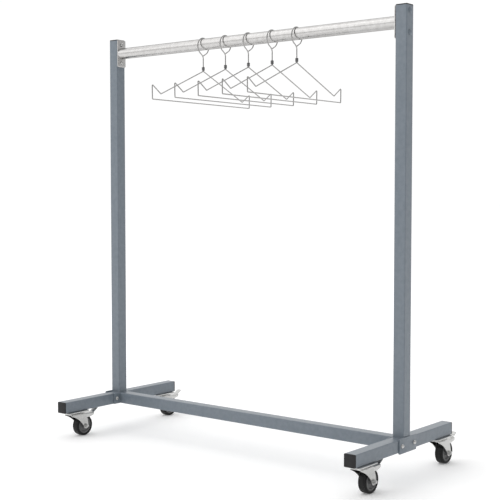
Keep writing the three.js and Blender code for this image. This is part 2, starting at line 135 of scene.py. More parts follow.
def quarter_arc(steps: int, first: int = 0) -> list[float]:
    """The angles of a quarter circle in even steps, from the first step wanted."""
    return [math.pi / 2 * i / steps for i in range(first, steps + 1)]


def full_circle(steps: int) -> list[float]:
    """The angles of a whole circle in even steps."""
    return [2 * math.pi * i / steps for i in range(steps)]


def bezier(points: Sequence[Sequence[float]], t: float) -> Vector:
    """A point of a three-point curve, from 0 to 1 along it."""
    a, b, c = (Vector(point) for point in points)
    return (1 - t) ** 2 * a + 2 * t * (1 - t) * b + t * t * c


def new_object(name: str, data: Any) -> bpy.types.Object:
    """Makes an object and links it to the scene."""
    thing = bpy.data.objects.new(name, data)
    bpy.context.scene.collection.objects.link(thing)
    return thing


# ------------------------------------------------------------------ node trees


class Graph:
    """Adds nodes to one node tree and joins them."""

    def __init__(self, tree: bpy.types.NodeTree) -> None:
        """Keeps the tree that nodes are added to."""
        self.tree = tree

    def add(self, kind: str, inputs: dict[Any, Any] | None = None, **settings: Any) -> bpy.types.Node:
        """Adds one node.

        Args:
            kind: The node's type name.
            inputs: A value, a socket or a node for each input, by the input's name or number.
            **settings: The node's own properties.

        Returns:
            The new node.
        """
        node = self.tree.nodes.new(kind)
        for key, value in settings.items():
            setattr(node, key, value)
        for key, value in (inputs or {}).items():
            self.feed(node.inputs[key], value)
        return node

    def feed(self, socket: bpy.types.NodeSocket, value: Any) -> None:
        """Joins a socket or node to an input, or sets the input's own value."""
        if isinstance(value, bpy.types.Node):
            value = value.outputs[0]
        if isinstance(value, bpy.types.NodeSocket):
            self.tree.links.new(value, socket)
        else:
            socket.default_value = value

    def math(self, operation: str, first: Any, second: Any = 0.5, clamp: bool = False) -> bpy.types.NodeSocket:
        """One arithmetic step on two values."""
        node = self.add("ShaderNodeMath", {0: first, 1: second}, operation=operation, use_clamp=clamp)
        return node.outputs[0]

    def ramp(self, value: Any, start: float, end: float, low: float = 0, high: float = 1) -> bpy.types.NodeSocket:
        """Maps the stretch from start to end of a value smoothly on to low to high."""
        node = self.add(
            "ShaderNodeMapRange",
            {"Value": value, "From Min": start, "From Max": end, "To Min": low, "To Max": high},
            interpolation_type="SMOOTHSTEP",
        )
        return node.outputs[0]

    def noise(self, place: Any, scale: Any, **more: float) -> bpy.types.NodeSocket:
        """The value of a noise texture, whose further inputs are given by name."""
        return self.add("ShaderNodeTexNoise", {"Vector": place, "Scale": scale, **more}).outputs[0]


def new_group(
    name: str, kind: str, inputs: dict[str, tuple[str, Any]], outputs: dict[str, str]
) -> tuple[Graph, bpy.types.Node, bpy.types.Node]:
    """Starts a node group.

    Args:
        name: The group's name.
        kind: The tree's type name.
        inputs: Each input's socket type and first value, by name.
        outputs: Each output's socket type, by name.

    Returns:
        The group's graph, its input node and its output node.
    """
    tree = bpy.data.node_groups.new(name, kind)
    for label, (socket_type, value) in inputs.items():
        socket = tree.interface.new_socket(label, in_out="INPUT", socket_type=socket_type)
        if value is not None:
            socket.default_value = value
    for label, socket_type in outputs.items():
        tree.interface.new_socket(label, in_out="OUTPUT", socket_type=socket_type)
    graph = Graph(tree)
    return graph, graph.add("NodeGroupInput"), graph.add("NodeGroupOutput")


# ------------------------------------------------------------------ shared surface effects

FLOAT = "NodeSocketFloat"
VECTOR = "NodeSocketVector"


@dataclass
class SurfaceEffects:
    """Shader groups that several finishes share."""

    grain: bpy.types.NodeTree = field(init=False)
    brushing: bpy.types.NodeTree = field(init=False)
    scuffs: bpy.types.NodeTree = field(init=False)
    # Outer-edge mask: partly wear, partly a painted highlight on the rounded edges.
    edges: bpy.types.NodeTree = field(init=False)
    dust: bpy.types.NodeTree = field(init=False)

    def __post_init__(self) -> None:
        """Builds every group once."""
        self.grain = self._grain()
        self.brushing = self._brushing()
        self.scuffs = self._scuffs()
        self.edges = self._rim_shine_and_wear()
        self.dust = self._dust()

    @staticmethod
    def _grain() -> bpy.types.NodeTree:
        """Fine even grain, with a slow drift of tone."""
        graph, given, made = new_group(
            "fine_grain", "ShaderNodeTree",
            {"Scale": (FLOAT, 900.0), "Drift Scale": (FLOAT, 9.0)},
            {"Height": FLOAT, "Tone": FLOAT},
        )
        place = graph.add("ShaderNodeTexCoord").outputs["Object"]
        fine = graph.noise(place, given.outputs["Scale"], Detail=3.0)
        slow = graph.noise(place, given.outputs["Drift Scale"], Detail=4.0)
        graph.feed(made.inputs["Height"], fine)
        graph.feed(made.inputs["Tone"], graph.ramp(slow, 0.3, 0.7))
        return graph.tree

    @staticmethod
    def _brushing() -> bpy.types.NodeTree:
        """Long fine lines: the stretch is small along the lines and large across them."""
        graph, given, made = new_group(
            "brushed_lines", "ShaderNodeTree",
            {"Stretch": (VECTOR, (6.0, 900.0, 900.0)), "Scale": (FLOAT, 1.0)},
            {"Height": FLOAT, "Tone": FLOAT},
        )
        place = graph.add("ShaderNodeTexCoord").outputs["Object"]
        spread = graph.add("ShaderNodeVectorMath", {0: place, 1: given.outputs["Stretch"]}, operation="MULTIPLY")
        lines = graph.noise(spread, given.outputs["Scale"], Detail=5.0, Roughness=0.65)
        broad = graph.noise(spread, graph.math("MULTIPLY", given.outputs["Scale"], 0.15))
        graph.feed(made.inputs["Height"], lines)
        graph.feed(made.inputs["Tone"], graph.ramp(graph.math("ADD", lines, broad), 0.75, 1.25))
        return graph.tree

    @staticmethod
    def _scuffs() -> bpy.types.NodeTree:
        """Sparse thin scratches."""
        graph, given, made = new_group(
            "scuffs", "ShaderNodeTree",
            {"Scale": (FLOAT, 30.0), "Width": (FLOAT, 0.006)},
            {"Mask": FLOAT},
        )
        place = graph.add("ShaderNodeTexCoord").outputs["Object"]
        lines = graph.noise(place, given.outputs["Scale"], Detail=1.0, Distortion=2.5)
        off_line = graph.math("ABSOLUTE", graph.math("SUBTRACT", lines, 0.5))
        near = graph.add(
            "ShaderNodeMapRange",
            {"Value": off_line, "From Min": given.outputs["Width"], "From Max": 0.0, "To Min": 0.0, "To Max": 1.0},
        )
        sparse = graph.ramp(graph.noise(place, 14.0, Detail=2.0), 0.56, 0.7)
        graph.feed(made.inputs["Mask"], graph.math("MULTIPLY", near.outputs[0], sparse, clamp=True))
        return graph.tree

    @staticmethod
    def _rim_shine_and_wear() -> bpy.types.NodeTree:
        """Wear and a painted highlight on the outer edges, read from each mesh's own edge attribute and broken up by
        noise.
        """
        graph, given, made = new_group(
            "rim_wear_and_highlight", "ShaderNodeTree",
            {"Scale": (FLOAT, 70.0), "Spread": (FLOAT, 0.35)},
            {"Mask": FLOAT},
        )
        place = graph.add("ShaderNodeTexCoord").outputs["Object"]
        edge = graph.add("ShaderNodeAttribute", attribute_name=Shell.EDGE_ATTRIBUTE)
        chips = graph.noise(place, given.outputs["Scale"], Detail=4.0)
        broken = graph.math("ADD", edge.outputs["Fac"], graph.math("SUBTRACT", chips, 0.5))
        floor_level = graph.math("SUBTRACT", 1.0, given.outputs["Spread"])
        worn = graph.add("ShaderNodeMapRange", {"Value": broken, "From Min": floor_level, "From Max": 1.15})
        graph.feed(made.inputs["Mask"], worn.outputs[0])
        return graph.tree

    @staticmethod
    def _dust() -> bpy.types.NodeTree:
        """A thin film on faces that look up."""
        graph, given, made = new_group(
            "settled_dust", "ShaderNodeTree", {"Amount": (FLOAT, 0.1)}, {"Mask": FLOAT}
        )
        place = graph.add("ShaderNodeTexCoord").outputs["Object"]
        facing = graph.add("ShaderNodeSeparateXYZ", {0: graph.add("ShaderNodeNewGeometry").outputs["Normal"]})
        up = graph.ramp(facing.outputs["Z"], 0.6, 1.0)
        patches = graph.noise(place, 40.0, Detail=6.0)
        film = graph.math("MULTIPLY", up, graph.ramp(patches, 0.35, 0.75))
        graph.feed(made.inputs["Mask"], graph.math("MULTIPLY", film, given.outputs["Amount"]))
        return graph.tree


# ------------------------------------------------------------------ finishes

DUST_COLOUR: Colour = (0.55, 0.53, 0.5)
DUST_ROUGHNESS = 0.5
SCUFF_ROUGHNESS = 0.1
SCUFF_SCALE = 26.0
RELIEF_STRENGTH = 0.35


@dataclass(frozen=True)
class Finish:
    """A surface finish: colours and gloss that the shared effects vary over the surface."""

    name: str
    colour: Colour
    # The colour of scratches, and of outer edges, where it is partly wear and partly a painted highlight.
    worn_and_highlight_colour: Colour
    roughness: float
    metallic: float = 0.0
    coat: float = 0.0
    grain_scale: float = 900.0
    grain_depth: float = 0.02
    roughness_swing: float = 0.08
    tone_swing: float = 0.06
    # How far outer edges take the worn colour: partly wear, partly a painted highlight.
    rim_wear_and_highlight_amount: float = 0.5
    scuff_amount: float = 0.25
    dust_amount: float = 0.06
    stretch: tuple[float, float, float] | None = None
    specular: float = 0.5
    edge_tint: Colour = (1.0, 1.0, 1.0)

    def build(self, effects: SurfaceEffects) -> bpy.types.Material:
        """Makes the material.

        Args:
            effects: The shared shader groups.

        Returns:
            The new material.
        """
        material = bpy.data.materials.new(self.name)
        material.use_nodes = True
        graph = Graph(material.node_tree)
        shader = material.node_tree.nodes["Principled BSDF"]
        height, tone = self._relief(graph, effects)
        scuffs = self._group(graph, effects.scuffs, {"Scale": SCUFF_SCALE}).outputs["Mask"]
        # The edge mask lightens outer edges: partly wear, partly a painted highlight. The scratch mask is wear.
        edges = self._group(graph, effects.edges, {}).outputs["Mask"]
        dust = self._group(graph, effects.dust, {"Amount": self.dust_amount}).outputs["Mask"]
        wear_and_highlight = graph.math(
            "MAXIMUM",
            graph.math("MULTIPLY", edges, self.rim_wear_and_highlight_amount),
            graph.math("MULTIPLY", scuffs, self.scuff_amount),
        )
        dark = tuple(c * (1 - self.tone_swing) for c in self.colour)
        light = tuple(min(c * (1 + self.tone_swing), 1) for c in self.colour)
        base = self._mix(graph, tone, dark, light)
        base = self._mix(graph, wear_and_highlight, base, self.worn_and_highlight_colour)
        base = self._mix(graph, dust, base, DUST_COLOUR)
        graph.feed(shader.inputs["Base Color"], base)
        swing = graph.math("MULTIPLY", graph.math("SUBTRACT", tone, 0.5), self.roughness_swing)
        dusty = graph.math("MULTIPLY", dust, DUST_ROUGHNESS)
        scuffed = graph.math("MULTIPLY", scuffs, SCUFF_ROUGHNESS)
        rough = graph.math("ADD", graph.math("ADD", swing, self.roughness), dusty)
        graph.feed(shader.inputs["Roughness"], graph.math("ADD", rough, scuffed, True))
        for label, value in (
            ("Metallic", self.metallic), ("Coat Weight", self.coat), ("Specular IOR Level", self.specular),
            ("Specular Tint", (*self.edge_tint, 1.0)),
        ):
            shader.inputs[label].default_value = value
        relief = {"Strength": RELIEF_STRENGTH, "Distance": self.grain_depth * MM, "Height": height}
        bump = graph.add("ShaderNodeBump", relief)
        graph.feed(shader.inputs["Normal"], bump.outputs[0])
        return material

    def _relief(
        self, graph: Graph, effects: SurfaceEffects
    ) -> tuple[bpy.types.NodeSocket, bpy.types.NodeSocket]:
        """The height and tone of the grain, or of brushed lines where the finish has a stretch."""
        if self.stretch is None:
            node = self._group(graph, effects.grain, {"Scale": self.grain_scale})
        else:
            node = self._group(graph, effects.brushing, {"Stretch": self.stretch})
        return node.outputs["Height"], node.outputs["Tone"]

    @staticmethod
    def _group(graph: Graph, tree: bpy.types.NodeTree, values: dict[str, Any]) -> bpy.types.Node:
        """Places a shared group with its own values."""
        node = graph.add("ShaderNodeGroup", node_tree=tree)
        for name, value in values.items():
            node.inputs[name].default_value = value
        return node

    @staticmethod
    def _mix(graph: Graph, factor: Any, first: Any, second: Any) -> bpy.types.NodeSocket:
        """Mixes two colours."""
        node = graph.add("ShaderNodeMix", data_type="RGBA")
        for key, value in (("Factor", factor), (6, first), (7, second)):
            graph.feed(node.inputs[key], (*value, 1.0) if isinstance(value, tuple) else value)
        return node.outputs[2]


class Slot(Enum):
    """The record's material slots, each with its finish."""

    PAINT = "paint"
    CAP_PLASTIC = "cap_plastic"
    ZINC = "zinc"
    BRUSHED_RAIL = "brushed_rail"
    HUB_PLASTIC = "hub_plastic"
    TYRE = "tyre"
    HANGER_WIRE = "hanger_wire"
    FERRULE_METAL = "ferrule_metal"


FINISHES: dict[Slot, Finish] = {
    Slot.PAINT: Finish(
        "blue_grey_powder_coat", (0.133, 0.163, 0.196), (0.26, 0.29, 0.32), 0.38,
        coat=0.14, grain_scale=1100, grain_depth=0.04, roughness_swing=0.03, tone_swing=0.015,
        rim_wear_and_highlight_amount=0.3, scuff_amount=0.06, dust_amount=0.05,
    ),
    Slot.CAP_PLASTIC: Finish(
        "black_cap_plastic", (0.008, 0.008, 0.0085), (0.04, 0.04, 0.042), 0.5,
        grain_scale=1600, grain_depth=0.04, tone_swing=0.15, rim_wear_and_highlight_amount=0.4, scuff_amount=0.15,
        dust_amount=0.02, specular=0.3,
    ),
    Slot.ZINC: Finish(
        "bright_zinc", (0.52, 0.52, 0.51), (0.8, 0.8, 0.8), 0.27, metallic=1.0,
        grain_scale=420, grain_depth=0.02, roughness_swing=0.12, tone_swing=0.08, rim_wear_and_highlight_amount=0.4,
        dust_amount=0.02,
    ),
    Slot.BRUSHED_RAIL: Finish(
        "brushed_rail_steel", (0.44, 0.43, 0.421), (0.85, 0.85, 0.85), 0.24, metallic=1.0,
        stretch=(1.5, 1300.0, 1300.0), grain_depth=0.006, roughness_swing=0.05, tone_swing=0.02,
        scuff_amount=0.1, dust_amount=0.01, rim_wear_and_highlight_amount=0.3, edge_tint=(0.42, 0.42, 0.42),
    ),
    Slot.HUB_PLASTIC: Finish(
        "grey_hub_plastic", (0.13, 0.13, 0.132), (0.25, 0.25, 0.25), 0.45,
        grain_scale=1500, grain_depth=0.03, tone_swing=0.06, scuff_amount=0.15,
    ),
    Slot.TYRE: Finish(
        "black_tyre_rubber", (0.004, 0.004, 0.0042), (0.025, 0.025, 0.025), 0.42,
        grain_scale=1300, grain_depth=0.07, tone_swing=0.2, scuff_amount=0.3, dust_amount=0.01, specular=0.2,
    ),
    Slot.HANGER_WIRE: Finish(
        "drawn_hanger_wire", (0.37, 0.365, 0.36), (0.5, 0.5, 0.5), 0.28, metallic=1.0,
        grain_scale=700, grain_depth=0.015, roughness_swing=0.1, tone_swing=0.06, rim_wear_and_highlight_amount=0.0,
        dust_amount=0.01,
    ),
    Slot.FERRULE_METAL: Finish(
        "dark_ferrule_metal", (0.14, 0.14, 0.142), (0.3, 0.3, 0.3), 0.36, metallic=1.0,
        grain_scale=500, grain_depth=0.02, tone_swing=0.12, rim_wear_and_highlight_amount=0.3, dust_amount=0.02,
    ),
}


# ------------------------------------------------------------------ meshes

AXIS_RADIUS = 0.01 * MM
CORNER_MARGIN = 1.2 * MM
MARGIN_SHARE = 0.8
SMALLEST_CORNER = 0.1 * MM
SMALLEST_BORE_CORNER = 0.6 * MM
SOFT_EDGE = 0.4 * MM
CORNER_SHARE = 0.45
RING_POINTS = 60


class Shell:
    """A mesh in the making: points and faces, joined from closed lofts."""

    EDGE_ATTRIBUTE = "edge"
    # The edge turn at which the mark for edge wear and painted highlight is full.
    FULL_WEAR_ANGLE = math.radians(14)

    def __init__(self) -> None:
        """Starts empty."""
        self.points: list[Vector] = []
        self.faces: list[tuple[int, ...]] = []

    def add(self, other: "Shell", place: Matrix | None = None) -> "Shell":
        """Joins another shell on to this one, moved by a matrix, and returns this one."""
        start = len(self.points)
        move = place or Matrix.Identity(4)
        self.points.extend(move @ point for point in other.points)
        self.faces.extend(tuple(start + i for i in face) for face in other.faces)
        return self

    def moved(self, place: Matrix) -> "Shell":
        """A copy moved by a matrix."""
        return Shell().add(self, place)

    def mesh(self, name: str) -> bpy.types.Mesh:
        """Makes the mesh, with faces outwards, smooth shading and the edge attribute."""
        mesh = bpy.data.meshes.new(name)
        mesh.from_pydata(self.points, [], self.faces)
        work = bmesh.new()
        work.from_mesh(mesh)
        bmesh.ops.remove_doubles(work, verts=work.verts, dist=1e-7)
        bmesh.ops.recalc_face_normals(work, faces=work.faces)
        work.to_mesh(mesh)
        work.free()
        dress_mesh(mesh)
        return mesh


def dress_mesh(mesh: bpy.types.Mesh) -> None:
    """Gives a mesh smooth shading with sharp creases, and marks its outer edges for wear and a painted highlight."""
    work = bmesh.new()
    work.from_mesh(mesh)
    layers = work.verts.layers.float
    layer = layers.get(Shell.EDGE_ATTRIBUTE) or layers.new(Shell.EDGE_ATTRIBUTE)
    for vertex in work.verts:
        turns = [edge.calc_face_angle_signed(0.0) for edge in vertex.link_edges if edge.is_manifold]
        vertex[layer] = min(max(max(turns, default=0.0) / Shell.FULL_WEAR_ANGLE, 0.0), 1.0)
    work.to_mesh(mesh)
    work.free()
    mesh.shade_smooth()
    mesh.set_sharp_from_angle(angle=SMOOTH_ANGLE)


def loft(rings: Sequence[Sequence[Vector]], looped: bool = False) -> Shell:
    """Joins rings of equal count into a closed shell.

    Args:
        rings: The rings, in order. Each has the same number of points.
        looped: Whether the last ring joins the first, instead of both being capped.

    Returns:
        The closed shell.
    """
    shell = Shell()
    count = len(rings[0])
    for ring in rings:
        shell.points.extend(ring)
    for i in range(len(rings) if looped else len(rings) - 1):
        here, there = i * count, (i + 1) % len(rings) * count
        for j in range(count):
            k = (j + 1) % count
            shell.faces.append((here + j, here + k, there + k, there + j))
    if not looped:
        last = (len(rings) - 1) * count
        shell.faces.append(tuple(range(count))[::-1])
        shell.faces.append(tuple(range(last, last + count)))
    return shell


def rounded_ring(
    width: float, height: float, corner: float, steps: int = 6, margin: float = CORNER_MARGIN
) -> list[Point2]:
    """A rectangle with round corners, with a point beside each corner so that shading stays flat.

    Args:
        width: The size along the first direction.
        height: The size along the second direction.
        corner: The corner radius.
        steps: The number of steps in each corner.
        margin: How far from each corner the extra points lie, at most.

    Returns:
        The points, anticlockwise.
    """
    points: list[Point2] = []
    margin = min(margin, (min(width, height) / 2 - corner) * MARGIN_SHARE)
    for quarter, (sx, sy) in enumerate(((1, 1), (-1, 1), (-1, -1), (1, -1))):
        centre = Vector((sx * (width / 2 - corner), sy * (height / 2 - corner)))
        start = quarter * math.pi / 2
        arc = [start + a for a in quarter_arc(steps)]
        corner_points = [centre + corner * Vector((math.cos(a), math.sin(a))) for a in arc]
        before = Vector((math.sin(start), -math.cos(start))) * margin
        after = Vector((-math.cos(start), -math.sin(start))) * margin
        points.append(tuple(corner_points[0] + before))
        points.extend(tuple(p) for p in corner_points)
        points.append(tuple(corner_points[-1] + after))
    return points


def at_height(ring: Sequence[Point2], z: float) -> list[Vector]:
    """Lifts a flat ring to a height."""
    return [Vector((x, y, z)) for x, y in ring]


def plate(width: float, height: float, corner: float, thickness: float, bevel: float, steps: int = 3) -> Shell:
    """A flat plate with round corners and softened edges, its underside at z = 0."""
    levels = [(bevel * (1 - math.sin(a)), bevel * (1 - math.cos(a))) for a in quarter_arc(steps)]
    rings = []
    for inset, z in levels + [(inset, thickness - z) for inset, z in reversed(levels)]:
        ring = rounded_ring(width - 2 * inset, height - 2 * inset, max(corner - inset, SMALLEST_CORNER))
        rings.append(at_height(ring, z))
    return loft(rings)


def square_tube(side: float, wall: float, corner: float, start: float, end: float) -> Shell:
    """A square tube along Z, open at both ends, with softened outer edges."""
    outer = rounded_ring(side, side, corner)
    inner = rounded_ring(side - 2 * wall, side - 2 * wall, max(corner - wall, SMALLEST_BORE_CORNER))
    nearly = rounded_ring(side - 2 * SOFT_EDGE, side - 2 * SOFT_EDGE, corner - SOFT_EDGE)
    levels = (
        (inner, start), (nearly, start), (outer, start + SOFT_EDGE),
        (outer, end - SOFT_EDGE), (nearly, end), (inner, end),
    )
    return loft([at_height(ring, z) for ring, z in levels], looped=True)


def turned(profile: Sequence[Point2], segments: int = 64, looped: bool = False) -> Shell:
    """A turned piece about Z.

    Args:
        profile: Points of radius and height. An open profile starts and ends on the axis.
        segments: The number of steps round.
        looped: Whether the profile is a closed outline clear of the axis.

    Returns:
        The closed shell.
    """
    rings = [at_height(circle_ring(max(radius, AXIS_RADIUS), segments), z) for radius, z in profile]
    return loft(rings, looped)


def rounded_profile(points: Sequence[Point2], radius: float, steps: int = 4) -> list[Point2]:
    """Rounds each inner corner of an open profile with a short curve."""
    result = [points[0]]
    for before, here, after in zip(points, points[1:], points[2:]):
        corner = Vector(here)
        back, on = Vector(before) - corner, Vector(after) - corner
        reach = min(radius, back.length * CORNER_SHARE, on.length * CORNER_SHARE)
        first, last = corner + back.normalized() * reach, corner + on.normalized() * reach
        result += [tuple(bezier((first, corner, last), i / steps)) for i in range(steps + 1)]
    result.append(points[-1])
    return result


def sheet_loft(path: Sequence[Point2], spans: Sequence[Point2], thickness: float, across: int = 10) -> Shell:
    """A bent sheet of even thickness.

    Args:
        path: The sheet's outer face seen along Y, as points of X and Z.
        spans: The sheet's first and last Y at each point of the path.
        thickness: The sheet's thickness, towards the inside of the bend.
        across: The number of steps along Y.

    Returns:
        The closed shell.
    """
    rings = []
    for i, ((x, z), (front, rear)) in enumerate(zip(path, spans)):
        before, after = Vector(path[max(i - 1, 0)]), Vector(path[min(i + 1, len(path) - 1)])
        along = (after - before).normalized()
        inside = Vector((along.y, -along.x)) * thickness
        ys = [front + (rear - front) * j / across for j in range(across + 1)]
        outer = [Vector((x, y, z)) for y in ys]
        inner = [Vector((x + inside.x, y, z + inside.y)) for y in reversed(ys)]
        rings.append(outer + inner)
    return loft(rings)


def hexagon_ring(across_flats: float, round_limit: float) -> list[Point2]:
    """A hexagon whose corners are cut by a circle, with as many points as a round ring."""
    points = []
    for angle in full_circle(RING_POINTS):
        off_flat = (angle + math.pi / 6) % (math.pi / 3) - math.pi / 6
        reach = min(across_flats / 2 / math.cos(off_flat), round_limit)
        points.append((reach * math.cos(angle), reach * math.sin(angle)))
    return points


def circle_ring(radius: float, count: int = RING_POINTS) -> list[Point2]:
    """A circle of points."""
    return [(radius * math.cos(a), radius * math.sin(a)) for a in full_circle(count)]


# ------------------------------------------------------------------ geometry node tools

GEOMETRY = "NodeSocketGeometry"
MATERIAL = "NodeSocketMaterial"
INTEGER = "NodeSocketInt"
LENGTH = "NodeSocketFloat"


class NodeTool:
    """A Geometry Nodes tree that is run once on a mesh and baked to a plain mesh."""

    def __init__(self, name: str, inputs: dict[str, tuple[str, Any]], build: Callable[..., Any]) -> None:
        """Builds the tree.

        Args:
            name: The tree's name.
            inputs: The sizes that the tree takes, each with its socket type and first value.
            build: Adds the nodes between the input node and a geometry socket that it returns.
        """
        sockets = {"Geometry": (GEOMETRY, None), **inputs, "Material": (MATERIAL, None)}
        graph, given, made = new_group(name, "GeometryNodeTree", sockets, {"Geometry": GEOMETRY})
        self.tree = graph.tree
        result = build(graph, given)
        real = graph.add("GeometryNodeRealizeInstances", {"Geometry": result})
        painted = graph.add(
            "GeometryNodeSetMaterial", {"Geometry": real, "Material": given.outputs["Material"]}
        )
        graph.feed(made.inputs["Geometry"], painted)

    def run(self, mesh: bpy.types.Mesh, material: bpy.types.Material, **values: Any) -> bpy.types.Mesh:
        """Runs the tree on a mesh.

        Args:
            mesh: The mesh that goes in.
            material: The material that the result carries.
            **values: The tree's inputs, with an underscore for each space in a name.

        Returns:
            The baked mesh.
        """
        holder = new_object(mesh.name, mesh)
        modifier = holder.modifiers.new("tool", "NODES")
        modifier.node_group = self.tree
        named = {label.replace("_", " "): value for label, value in values.items()}
        named["Material"] = material
        for item in self.tree.interface.items_tree:
            if item.item_type == "SOCKET" and item.in_out == "INPUT" and item.name in named:
                modifier[item.identifier] = named[item.name]
        graph = bpy.context.evaluated_depsgraph_get()
        graph.update()
        baked = bpy.data.meshes.new_from_object(
            holder.evaluated_get(graph), preserve_all_data_layers=True, depsgraph=graph
        )
        holder.modifiers.remove(modifier)
        bpy.data.objects.remove(holder)
        dress_mesh(baked)
        return baked


def _line_array(graph: Graph, given: bpy.types.Node) -> bpy.types.Node:
    """Repeats the incoming piece along a straight line."""
    line = graph.add(
        "GeometryNodeMeshLine", {"Count": given.outputs["Count"], "Offset": given.outputs["Offset"]}, mode="OFFSET"
    )
    return graph.add("GeometryNodeInstanceOnPoints", {"Points": line, "Instance": given.outputs["Geometry"]})


def _ring_array(graph: Graph, given: bpy.types.Node) -> bpy.types.Node:
    """Repeats the incoming piece round Z."""
    line = graph.add("GeometryNodeMeshLine", {"Count": given.outputs["Count"], "Offset": (0, 0, 0)}, mode="OFFSET")
    step = graph.math("DIVIDE", 2 * math.pi, given.outputs["Count"])
    turn = graph.math("MULTIPLY", graph.add("GeometryNodeInputIndex"), step)
    spin = graph.add("ShaderNodeCombineXYZ", {"Z": turn})
    return graph.add(
        "GeometryNodeInstanceOnPoints",
        {"Points": line, "Instance": given.outputs["Geometry"], "Rotation": spin.outputs[0]},
    )


def _wire_sweep(graph: Graph, given: bpy.types.Node) -> bpy.types.Node:
    """Sweeps a round wire along the incoming chain of points, with each corner bent to a radius."""
    curve = graph.add("GeometryNodeMeshToCurve", {"Mesh": given.outputs["Geometry"]})
    bent = graph.add(
        "GeometryNodeFilletCurve",
        {"Curve": curve, "Count": given.outputs["Bend Steps"], "Radius": given.outputs["Bend Radius"],
         "Limit Radius": True},
        mode="POLY",
    )
    section = graph.add(
        "GeometryNodeCurvePrimitiveCircle",
        {"Resolution": given.outputs["Sides"], "Radius": given.outputs["Wire Radius"]},
        mode="RADIUS",
    )
    return graph.add("GeometryNodeCurveToMesh", {"Curve": bent, "Profile Curve": section, "Fill Caps": True})


def _bead_seam(graph: Graph, given: bpy.types.Node) -> bpy.types.Node:
    """Lays overlapping weld ripples along the incoming chain of points."""
    curve = graph.add("GeometryNodeMeshToCurve", {"Mesh": given.outputs["Geometry"]})
    even = graph.add("GeometryNodeResampleCurve", {"Curve": curve, "Length": given.outputs["Pitch"]}, mode="LENGTH")
    ripple = graph.add("GeometryNodeMeshUVSphere", {"Segments": 8, "Rings": 5, "Radius": given.outputs["Bead"]})
    size = graph.add(
        "FunctionNodeRandomValue", {"Min": (0.88, 0.88, 0.88), "Max": (1.08, 1.08, 1.08), "Seed": 7},
        data_type="FLOAT_VECTOR",
    )
    return graph.add(
        "GeometryNodeInstanceOnPoints", {"Points": even, "Instance": ripple.outputs[0], "Scale": size.outputs[0]}
    )


@dataclass
class Tools:
    """The node tools, each built once."""

    line_array: NodeTool = field(init=False)
    ring_array: NodeTool = field(init=False)
    wire_sweep: NodeTool = field(init=False)
    bead_seam: NodeTool = field(init=False)

    def __post_init__(self) -> None:
        """Builds every tree."""
        self.line_array = NodeTool(
            "line_array", {"Count": (INTEGER, 2), "Offset": (VECTOR, (0.0, 0.0, 0.01))}, _line_array
        )
        self.ring_array = NodeTool("ring_array", {"Count": (INTEGER, 12)}, _ring_array)
        self.wire_sweep = NodeTool(
            "wire_sweep",
            {"Wire Radius": (LENGTH, 0.002), "Sides": (INTEGER, 16), "Bend Radius": (LENGTH, 0.006),
             "Bend Steps": (INTEGER, 8)},
            _wire_sweep,
        )
        self.bead_seam = NodeTool("bead_seam", {"Pitch": (LENGTH, 0.002), "Bead": (LENGTH, 0.0014)}, _bead_seam)


def chain(points: Sequence[Vector], closed: bool = False) -> bpy.types.Mesh:
    """A mesh of edges through points, for the node tools that follow a path."""
    mesh = bpy.data.meshes.new("chain")
    edges = [(i, i + 1) for i in range(len(points) - 1)]
    if closed:
        edges.append((len(points) - 1, 0))
    mesh.from_pydata(points, edges, [])
    return mesh


# ------------------------------------------------------------------ the workshop


class Workshop:
    """Keeps the materials and the node tools, and puts finished pieces in the scene."""

    BEAD_PITCH = 1.1

    def __init__(self) -> None:
        """Builds every material and tool."""
        effects = SurfaceEffects()
        self.materials = {slot: finish.build(effects) for slot, finish in FINISHES.items()}
        self.tools = Tools()
        self.count = 0

    def place(
        self, name: str, mesh: bpy.types.Mesh, slot: Slot, body: str,
        stands_for: Sequence[str] = (), move: Matrix | None = None,
    ) -> None:
        """Puts a finished mesh in the scene as a piece.

        Args:
            name: The piece's name.
            mesh: Its mesh. A moved piece takes a copy.
            slot: The record's material slot.
            body: The body that it rides on.
            stands_for: The CAD nodes that it replaces.
            move: A matrix that puts the mesh in its place.
        """
        own = mesh.copy()
        own.name = name
        if move is not None:
            own.transform(move)
        own.materials.clear()
        own.materials.append(self.materials[slot])
        piece = new_object(name, own)
        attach(piece, body)
        if stands_for:
            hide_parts(*stands_for)
        self.count += 1
        LOG.info("%s: %d faces on %s", name, len(own.polygons), body)

    def craft(
        self, tool: NodeTool, name: str, mesh: bpy.types.Mesh, slot: Slot, body: str,
        stands_for: Sequence[str] = (), move: Matrix | None = None, **values: Any,
    ) -> None:
        """Runs a node tool on a mesh and puts the result in the scene as a piece.

        Args:
            tool: The node tool.
            name: The piece's name.
            mesh: The mesh that goes into the tool.
            slot: The record's material slot.
            body: The body that the piece rides on.
            stands_for: The CAD nodes that it replaces.
            move: A matrix that puts the result in its place.
            **values: The tool's inputs, with an underscore for each space in a name.
        """
        made = tool.run(mesh, self.materials[slot], **values)
        self.place(name, made, slot, body, stands_for, move)

    def seam(self, name: str, points: Sequence[Vector], bead: float, closed: bool = True) -> None:
        """Lays a painted weld bead along a chain of points."""
        self.craft(
            self.tools.bead_seam, name, chain(points, closed), Slot.PAINT, ROOT_BODY,
            Pitch=bead * self.BEAD_PITCH, Bead=bead,
        )


# ------------------------------------------------------------------ fasteners


